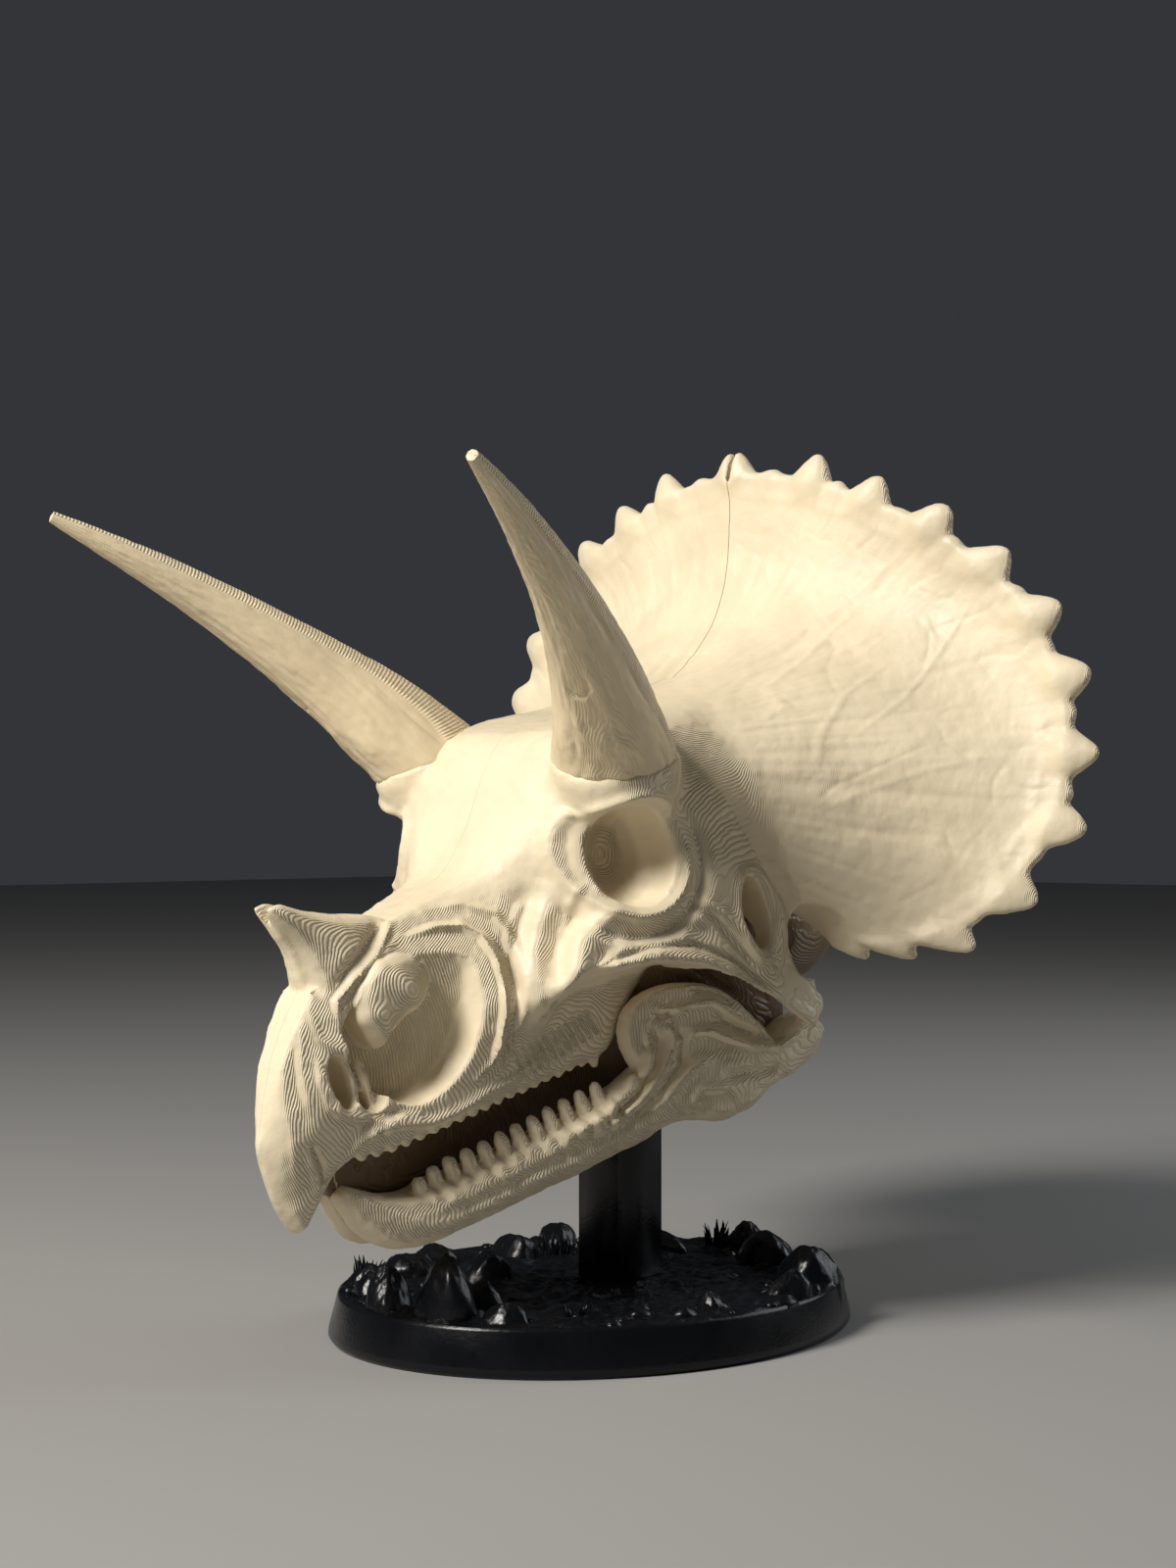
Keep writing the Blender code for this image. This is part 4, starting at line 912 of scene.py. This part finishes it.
def softZones(x, s, h):
    # how strongly each place is smoothed: the hooked beak, and where the horn's foot meets the skull
    beak = (1 - ease(-3, 6, s)) * (1 - ease(24, 34, h))
    (x0, s0, h0), radius, width = hornFoot["centre"], hornFoot["radius"], hornFoot["width"]
    foot = np.sqrt((x - x0) ** 2 + (s - s0) ** 2 + 0.6 * (h - h0) ** 2)
    return np.clip(beak + np.exp(-((foot - radius) / width) ** 2) * (h < hornFoot["top"]), 0, 1)


def paintedRecessShade(p, outward):
    # painted shade: 1 on the wall between the tooth rows and beside it, less in the side openings and behind
    # the cheek
    x, s, h = toSkull(p)
    wall = 1 - ease(1.0, 4.5, x - curveAt(mouthWall["half"], s))
    wall = wall * (1 - ease(-1, 2.5, h - curveAt(cranium["gumLine"], s))) * ease(-3, 3, s)
    for key, (depth, share) in paintedOpeningShade.items():
        (_, s0, h0), (_, rs, rh), _ = openings[key]
        inside = 1 - ease(0.8, 1.0, np.hypot((s - s0) / rs, (h - h0) / rh))
        wall = np.maximum(wall, share * inside * (1 - ease(depth - 6, depth, x)))
    behind = (1 - ease(44.5, 46.5, x)) * ease(134, 138, s) * (1 - ease(22, 27, h)) * ease(14, 18, x)
    facing = 1 - ease(138, 142, s) * (1 - ease(0.1, 0.4, outward))
    return np.maximum(wall, 0.85 * behind) * facing


def sculptHalf(skin):
    # smooth the joins, press in the lines, roughen the skin, and mark the frill's sheet, and the hollows and
    # the mouth for painted shade, for the materials
    f = frill
    x, s, h = toSkull(skin.p)
    out, up = skin.p[:, 0], skin.p[:, 2] - f["axisZ"]
    radius, angle = np.hypot(out, up), np.degrees(np.arctan2(out, up))
    root, margin = curveAt(f["root"], angle), curveAt(f["margin"], angle)
    share = (radius - root) / (margin - root)
    sheetY = frillFront(angle, np.clip(share, 0, 1))[:, 1]
    near = (np.abs(skin.p[:, 1] - sheetY - 2) < 12) & (angle < f["end"] + 4) & (share <= 1)
    sheet = near * ease(0.03, 0.2, share)
    # soften the crease where the frill leaves the skull
    atRoot = (np.abs(skin.p[:, 1] - sheetY) < 9) & (angle < 118) & (angle > 3) & (share <= 1)
    crease = np.exp(-((share - 0.02) / 0.17) ** 2) * atRoot * ease(-2, 3, x)
    for _ in range(3):
        crease = skin.spread(crease)
    skin.soften(110, crease)
    skin.soften(45, softZones(x, s, h) * ease(0.5, 2.5, x))
    normal = skin.normals()
    outward = ease(0.05, 0.4, normal[:, 0]) * (1 - sheet) * ease(1, 4, x)
    amount = outward * strokeField(s, h, faceLines)
    front = sheet * ease(0.1, 0.5, -normal[:, 1])
    rear = sheet * ease(0.1, 0.5, normal[:, 1])
    lines = strokeField(out, up, frillLines())
    amount += (frillMarks["frontShare"] * front + frillMarks["rearShare"] * rear) * lines
    # bone texture: broad unevenness, and on the sheet fine streaks that run outwards
    amount += 0.32 * cloud(skin.p, 13.0, 31) * (1 - 0.4 * sheet) + 0.13 * cloud(skin.p, 3.2, 35)
    fan = np.stack((angle * 1.6, share * 5.0, np.zeros_like(share)), -1)
    amount += sheet * 0.12 * cloud(fan, 3.0, 37) * (1 - ease(0.9, 1.02, share))
    skin.push(amount)
    # painted shade: how far each place lies sunk below its neighbours, so creases get a darker colour
    hollow = np.einsum("ij,ij->i", skin.spread(skin.p) - skin.p, skin.normals())
    for _ in range(4):
        hollow = skin.spread(hollow)
    deep = paintedRecessShade(skin.p, skin.normals()[:, 0])
    writeAttribute(skin.thing, "plain", sheet)
    # painted shade: creases, openings and the mouth marked for the darker colour
    creases = np.clip((hollow - creaseShade["least"]) / creaseShade["span"], 0, 1)
    writeAttribute(skin.thing, "hollow", np.clip(creaseShade["strength"] * creases + deep, 0, 1))


print("skull forms defined")


# stand: an oval plinth with boulders, pebbles and grass, and a square post
stand = dict(long=82.0, wide=69.0, height=13.0, lean=0.965, foot=0.985, sides=220, sink=3.0,
             postSide=18.4, postY=11.0, postTop=129.8, postBevel=1.2, postRoom=0.3)
pebbles = dict(count=84, least=1.3, spread=2.9, clear=14.0)
# tufts of grass: x, y, blades, height, spread, seed
tufts = ((-43.0, -50.0, 16, 9.0, 4.0, 1), (-12.0, 67.0, 16, 10.0, 4.0, 2), (36.0, -42.0, 9, 4.5, 4.0, 4),
         (-39.0, 24.0, 16, 6.5, 8.0, 5))
# boulders: x, y, half length, half width, top, turn in degrees
boulders = ((11.0, -67.0, 10.5, 9.0, 31.0, 10.0), (-10.0, -70.0, 8.0, 6.5, 25.0, -30.0),
            (-43.0, -32.0, 9.5, 8.0, 20.5, 40.0), (-22.0, -22.0, 9.0, 7.5, 22.5, 70.0),
            (-46.0, 12.0, 9.0, 8.0, 21.0, 15.0), (17.0, 56.0, 11.5, 9.0, 23.5, -10.0),
            (48.0, 40.0, 9.5, 8.5, 24.0, 55.0), (53.0, -7.0, 6.0, 5.0, 18.0, 0.0),
            (-22.0, 50.0, 11.0, 8.5, 19.5, 30.0), (-40.0, -52.0, 8.0, 7.0, 19.0, 20.0),
            (5.0, -50.0, 8.0, 6.5, 20.0, 60.0), (-54.0, -14.0, 8.5, 6.5, 19.0, 80.0),
            (-50.0, 34.0, 9.5, 7.0, 21.0, -40.0), (-36.0, 56.0, 9.0, 7.0, 22.5, 20.0),
            (-2.0, 70.0, 9.0, 6.5, 23.0, 0.0), (34.0, 60.0, 8.0, 7.0, 20.0, 30.0),
            (57.0, 20.0, 8.0, 6.0, 21.0, 80.0), (28.0, -62.0, 7.5, 5.5, 19.0, 25.0),
            (-26.0, -62.0, 8.0, 6.0, 21.0, -20.0))


def faceted(name, centre, radii, turn, seed, cuts=15, rows=34, cols=60):
    # a stone: in every direction the nearest of some random planes, rounded where they meet, with a rough
    # skin, and cut off flat below
    way = np.stack(globe(rows, cols), -1)
    k = np.arange(cuts)
    facing = unit(np.stack((hashed(k, 1, 2, seed) - 0.5, hashed(k, 3, 4, seed) - 0.5,
                            hashed(k, 5, 6, seed) * 0.9 - 0.25), -1))
    level = 0.80 + 0.20 * hashed(k, 7, 8, seed)
    reach = level / np.maximum(way @ facing.T, 0.05)
    reach = np.concatenate((reach, np.full(reach.shape[:2] + (1,), 1.06)), axis=-1)
    size = (reach ** -14).sum(-1) ** (-1 / 14)
    rough = cloud(way.reshape(-1, 3) * 10 + seed, 2.4, seed).reshape(size.shape)
    streak = noise(way.reshape(-1, 3) * (14, 14, 3) + seed, 1.1, seed + 5).reshape(size.shape)
    p = way * (size + 0.035 * rough + 0.012 * streak)[..., None] * np.array(radii)
    p[..., 2] = np.maximum(p[..., 2], -6)
    t = radians(turn)
    x, y = p[..., 0] * cos(t) - p[..., 1] * sin(t), p[..., 0] * sin(t) + p[..., 1] * cos(t)
    return gridObject(name, np.stack((x, y, p[..., 2]), -1) + np.array(centre))


def plinth():
    # oval plinth with a rounded rim, its top rough ground that lies flat round the post
    b = stand
    profile = ((0.0, b["foot"]), (0.5, 0.992), (1.5, 1.0), (3.0, 0.998),
               (b["height"] - 1.0, b["lean"] + 0.003), (b["height"] - 0.3, b["lean"]),
               (b["height"], b["lean"] - 0.006))
    a = np.linspace(0, 2 * pi, b["sides"], endpoint=False)
    rows = [np.stack((b["wide"] * size * np.cos(a), b["long"] * size * np.sin(a), np.full_like(a, z)), -1)
            for z, size in profile]
    for size in np.linspace(0.945, 0.03, 62):
        x, y = b["wide"] * size * np.cos(a), b["long"] * size * np.sin(a)
        spot = np.stack((x, y, np.zeros_like(x)), -1)
        bumpy = 0.9 * cloud(spot, 5.5, 91) + 0.5 * cloud(spot, 2.2, 93)
        clearOfPost = ease(11, 17, np.hypot(x, y - b["postY"]))
        spot[..., 2] = b["height"] + clearOfPost * (0.2 + np.maximum(bumpy, -0.8))
        rows.append(spot)
    return gridObject("plinth", np.array(rows))


def grassTuft(x, y, blades, tall, spread, seed):
    # flat tapering blades that stand about a point, each leaning outwards a little
    things = []
    for k in range(blades):
        lean, turn = 0.05 + 0.3 * hashed(k, 1, 0, seed), 2 * pi * hashed(k, 2, 0, seed)
        up = tall * (0.6 + 0.4 * hashed(k, 3, 0, seed))
        t = np.linspace(0, 1, 7)[:, None]
        out = np.array((cos(turn), sin(turn)))
        side = np.array((-sin(turn), cos(turn)))
        centre = np.array((x, y)) + out * (spread * hashed(k, 4, 0, seed) + up * lean * t ** 1.7)
        half = 1.12 - t ** 1.6
        a = np.linspace(0, 2 * pi, 8, endpoint=False)[None, :]
        xy = (centre[:, None] + side * (half * np.cos(a))[..., None]
              + out * (0.45 * half * np.sin(a))[..., None])
        z = (stand["height"] - 1 + up * (t - 0.18 * lean * t ** 2)) * np.ones_like(a)
        things.append(gridObject("stand_grass", np.concatenate((xy, z[..., None]), -1)))
    return things


def rockyBase():
    # the plinth with its stones, and room for the post
    b = stand
    body = plinth()
    foot = b["height"] - b["sink"]
    for number, (x, y, long, wide, top, turn) in enumerate(boulders):
        combine(body, faceted("boulder", (x, y, foot), (long, wide, top - foot), turn, 3 + number), "UNION")
    count, clear = pebbles["count"], pebbles["clear"]
    for k in range(count):
        # pebbles, most of them near the rim
        a = 2 * pi * (k + 0.7 * hashed(k, 0, 1, 4)) / count
        inward = 0.55 + 0.38 * hashed(k, 2, 3, 4) ** 0.35
        size = pebbles["least"] + pebbles["spread"] * hashed(k, 4, 5, 4) ** 2
        place = (b["wide"] * inward * cos(a), b["long"] * inward * sin(a), b["height"] - 0.3)
        if abs(place[0]) < clear and abs(place[1] - b["postY"]) < clear:
            continue
        pebble = faceted("pebble", place, (size * 1.2, size, size * 0.8), 50 * k, 40 + k, rows=14, cols=22)
        combine(body, pebble, "UNION")
    half = b["postSide"] / 2 + b["postRoom"]
    room = block("postRoom", (-half, b["postY"] - half, b["height"] - 2.3), (half, b["postY"] + half, 60))
    return combine(body, room, "DIFFERENCE")


def postBar():
    # square bar with its edges cut off
    b = stand
    half, cut = b["postSide"] / 2, b["postBevel"]
    ring = np.array([(half, half - cut), (half - cut, half), (cut - half, half), (-half, half - cut),
                     (-half, cut - half), (cut - half, -half), (half - cut, -half), (half, cut - half)])
    rows = [np.column_stack((ring * size + (0, b["postY"]), np.full(len(ring), z)))
            for z, size in ((b["height"] - 2, 0.985), (b["height"] - 1.4, 1.0), (b["postTop"] - 0.8, 1.0),
                            (b["postTop"], 0.96))]
    return gridObject("post", np.array(rows))


print("stand forms defined")

# cells of the grids that melt the forms together, mm
voxels = dict(skull=0.74, jaw=0.6)


def halfSkull(voxel):
    # the forms of one half, cut and melted together
    body = craniumForm()
    for form in (noseHornForm(), collarForm(), frillForm(), wallForm(), ball("notchWall", *notchWall)):
        combine(body, form, "UNION")
    for key in ("orbit", "temporal", "notch"):
        combine(body, ball(key, *openings[key]), "DIFFERENCE")
    for spec in (nostril, pocket, fossa):
        combine(body, sideCutter(spec), "DIFFERENCE")
    combine(body, noseBoneForm(), "UNION")
    for bar in noseBars:
        combine(body, ball("bar", *bar), "UNION")
    for gap in seamGaps:
        combine(body, ball("gap", *gap), "DIFFERENCE")
    combine(body, ball("hole", *openings["nostrilHole"]), "DIFFERENCE")
    combine(body, ball("condyle", jawJoint["centre"], (jawJoint["radius"],) * 3, 0.0), "UNION")
    melt(join([body, upperTeeth()]), voxel)
    return Skin(body)


skin = halfSkull(voxels["skull"])
skin.soften(3)
sculptHalf(skin)
skin.store()
print("half skull", len(skin.p), "vertices")

whole = glueCut(skin.thing, partings["glueHalf"])
frillPiece = combine(duplicate(whole, "frill_left_print"), frillSpace(), "INTERSECT")
glueCut(frillPiece, partings["frillGlueHalf"])
combine(whole, frillSpace(), "DIFFERENCE")
nosePiece = combine(duplicate(whole, "nose_horn_left_print"), noseSpace(), "INTERSECT")
combine(whole, noseSpace(), "DIFFERENCE")
beakPiece = combine(duplicate(whole, "beak_left_print"), beakSpace(), "INTERSECT")
combine(whole, beakSpace(), "DIFFERENCE")
whole.name = "cranium_left_print"
browPiece = browHorn("brow_horn_left_print")
jawPiece = glueCut(lowerJaw("jaw_left_print", voxels["jaw"]), partings["glueHalf"])
print("left pieces cut apart")


# printed plastic: colour on the open surface, and the painted shade colour (hollow) for creases, openings
# and the mouth, the way its layers are stacked and their height in mm, the strength of the layer lines, and
# the pitch of the cross ribs in mm, 0 for none
finishes = {
    "bone_print": dict(colour=(0.88, 0.755, 0.53), hollow=(0.17, 0.10, 0.045), roughness=0.50,
                       layerWay=(1.0, 0.0, 0.0), layer=0.34, lines=1.0, ribs=0.0, specular=0.5),
    "horn_print": dict(colour=(0.82, 0.68, 0.45), hollow=(0.50, 0.33, 0.15), roughness=0.46,
                       layerWay=(-0.62, 0.35, 0.70), layer=0.34, lines=0.35, ribs=0.95, specular=0.5),
    "black_print": dict(colour=(0.004, 0.0045, 0.006), hollow=(0.003, 0.003, 0.004), roughness=0.24,
                        layerWay=(0.0, 0.0, 1.0), layer=0.34, lines=0.3, ribs=0.0, specular=0.3)}


def printed(name, colour, hollow, roughness, layerWay, layer, lines, ribs, specular):
    # layer edges show as contour lines where the surface lies nearly flat to the layers, mirrored at the
    # glue plane
    made = bpy.data.materials.new(name)
    made.use_nodes = True
    tree = made.node_tree
    nodes, wires = tree.nodes, tree.links
    shader = nodes["Principled BSDF"]
    shader.inputs["Specular IOR Level"].default_value = specular

    def node(kind, operation=None, **settings):
        new = nodes.new("ShaderNode" + kind)
        if operation:
            new.operation = operation
        for key, value in settings.items():
            setattr(new, key, value)
        return new

    def feed(target, *sources):
        for socket, source in enumerate(sources):
            if isinstance(source, (int, float, tuple)):
                target.inputs[socket].default_value = source
            elif source is not None:
                wires.new(source, target.inputs[socket])
        return target.outputs[0]

    def scaled(value, low, high, fromLow, fromHigh):
        ramp = node("MapRange", clamp=True, interpolation_type="SMOOTHSTEP")
        return feed(ramp, value, fromLow, fromHigh, low, high)

    def math(operation, *sources):
        return feed(node("Math", operation), *sources)

    def bumpOf(source, strength, distance, under=None):
        bump = node("Bump")
        bump.inputs["Strength"].default_value = strength
        bump.inputs["Distance"].default_value = distance
        wires.new(source, bump.inputs["Height"])
        if under is not None:
            wires.new(under, bump.inputs["Normal"])
        return bump.outputs["Normal"]

    def marked(attribute):
        return node("Attribute", attribute_name=attribute).outputs["Fac"]

    coordinates = node("TexCoord")
    place = node("SeparateXYZ")
    feed(place, coordinates.outputs["Object"])
    facing = node("SeparateXYZ")
    feed(facing, coordinates.outputs["Normal"])
    side = math("SIGN", place.outputs[0])
    folded = node("CombineXYZ")
    feed(folded, math("ABSOLUTE", place.outputs[0]), place.outputs[1], place.outputs[2])
    turned = node("CombineXYZ")
    feed(turned, math("MULTIPLY", facing.outputs[0], side), facing.outputs[1], facing.outputs[2])
    height = node("VectorMath", "DOT_PRODUCT")
    feed(height, folded.outputs[0], layerWay)
    level = node("VectorMath", "DOT_PRODUCT")
    feed(level, turned.outputs[0], layerWay)

    edge = math("PINGPONG", math("MULTIPLY", height.outputs["Value"], 1000 / layer), 0.5)
    bead = math("POWER", math("MULTIPLY", edge, 2.0), 0.45)
    flat = scaled(math("ABSOLUTE", level.outputs["Value"]), 0.0, 1.0, 0.68, 0.94)
    # the frill's sheet is printed almost smooth
    strength = math("MULTIPLY", flat, math("MULTIPLY_ADD", marked("plain"), -0.8, 1.0))
    contour = math("MULTIPLY", bead, strength)

    grain = node("TexNoise")
    feed(grain, folded.outputs[0], None, 900.0, 4.0, 0.6)
    wander = node("TexNoise")
    feed(wander, folded.outputs[0], None, 45.0, 4.0, 0.55)

    crossRibs = None
    if ribs:
        # fine cross ribs on the band that the mesh marks
        wave = math("PINGPONG", math("MULTIPLY", marked("along"), 1 / ribs), 0.5)
        crossRibs = bumpOf(math("MULTIPLY", wave, marked("band")), 1.0, 0.0007)
    layered = bumpOf(contour, lines, 0.0005, crossRibs)
    wires.new(bumpOf(grain.outputs[0], 0.35, 0.00025, layered), shader.inputs["Normal"])

    # painted shade: the colour turns towards the hollow colour as far as the mesh's hollow mark goes, in
    # creases, openings and the mouth
    paintedShadeMix = node("MixRGB", blend_type="MIX")
    feed(paintedShadeMix, scaled(marked("hollow"), 0.0, 1.0, 0.0, 1.0), (*colour, 1), (*hollow, 1))
    varied = node("MixRGB", blend_type="MULTIPLY")
    tone = scaled(wander.outputs[0], 0.90, 1.04, 0.25, 0.75)
    mixed = node("CombineColor")
    feed(mixed, tone, tone, tone)
    feed(varied, 1.0, paintedShadeMix.outputs[0], mixed.outputs[0])
    wires.new(varied.outputs[0], shader.inputs["Base Color"])
    uneven = scaled(wander.outputs[0], roughness - 0.06, roughness + 0.06, 0.3, 0.7)
    wires.new(uneven, shader.inputs["Roughness"])
    return made


materials = {name: printed(name, **finish) for name, finish in finishes.items()}
print("materials made")


def dress(thing, slot, *nodes):
    # material, body, slot and the nodes it stands for
    thing.data.materials.clear()
    thing.data.materials.append(materials[slot])
    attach(thing, "root")
    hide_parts(*nodes)
    smoothShade(thing)


for piece, slot, node in ((whole, "bone_print", "cranium"), (frillPiece, "bone_print", "frill"),
                          (nosePiece, "bone_print", "nose_horn"), (beakPiece, "bone_print", "beak"),
                          (browPiece, "horn_print", "brow_horn"), (jawPiece, "bone_print", "jaw")):
    twin = mirrored(piece, node + "_right_print")
    dress(piece, slot, node + "_left")
    dress(twin, slot, node + "_right")
dress(rockyBase(), "black_print", "stand_base")
dress(postBar(), "black_print", "stand_post")
dress(join([blade for tuft in tufts for blade in grassTuft(*tuft)]), "black_print")
print("pieces dressed")

# floor, lights, camera
studio = dict(floorHalf=4.0, floorColour=(0.37, 0.36, 0.345), floorRoughness=0.8,
              skyColour=(0.74, 0.80, 0.90), skyStrength=0.045, lightsAimAt=(0, 0, 0.14))
# the camera: place in m, tilt up from straight down and turn in degrees, and the frame's half height over
# its distance
camera = dict(place=(0.5253, -0.5277, 0.149), tilt=90.639, turn=45.0, halfHeight=800 / 2600)


def paperFloor():
    half = studio["floorHalf"]
    mesh = bpy.data.meshes.new("floor")
    corners = [(-half, -half, 0), (half, -half, 0), (half, half, 0), (-half, half, 0)]
    mesh.from_pydata(corners, [], [(0, 1, 2, 3)])
    paper = bpy.data.materials.new("paper")
    paper.use_nodes = True
    shader = paper.node_tree.nodes["Principled BSDF"]
    shader.inputs["Base Color"].default_value = (*studio["floorColour"], 1)
    shader.inputs["Roughness"].default_value = studio["floorRoughness"]
    mesh.materials.append(paper)
    return link("floor", mesh)


def areaLight(name, place, side, power, colour):
    light = bpy.data.lights.new(name, "AREA")
    light.shape = "RECTANGLE"
    light.size, light.size_y = side, side
    light.energy = power
    light.color = colour
    lamp = link(name, light)
    lamp.location = place
    beam = Vector(np.subtract(studio["lightsAimAt"], place))
    lamp.rotation_euler = beam.to_track_quat("-Z", "Y").to_euler()


paperFloor()
areaLight("key", (-0.10, -1.10, 0.98), 0.42, 23, (1.0, 0.97, 0.92))
areaLight("back", (0.5, 1.1, 0.7), 0.8, 5, (0.9, 0.95, 1.0))
world = bpy.data.worlds.new("studio")
world.use_nodes = True
sky = world.node_tree.nodes["Background"]
sky.inputs["Color"].default_value = (*studio["skyColour"], 1)
sky.inputs["Strength"].default_value = studio["skyStrength"]

lens = bpy.data.cameras.new("camera")
lens.sensor_fit = "VERTICAL"
lens.angle = 2 * np.arctan(camera["halfHeight"])
viewer = link("camera", lens)
viewer.location = camera["place"]
viewer.rotation_euler = (radians(camera["tilt"]), 0, radians(camera["turn"]))

scene = bpy.context.scene
scene.world = world
scene.camera = viewer
scene.view_settings.view_transform = "Standard"
print("floor, lights and camera set")
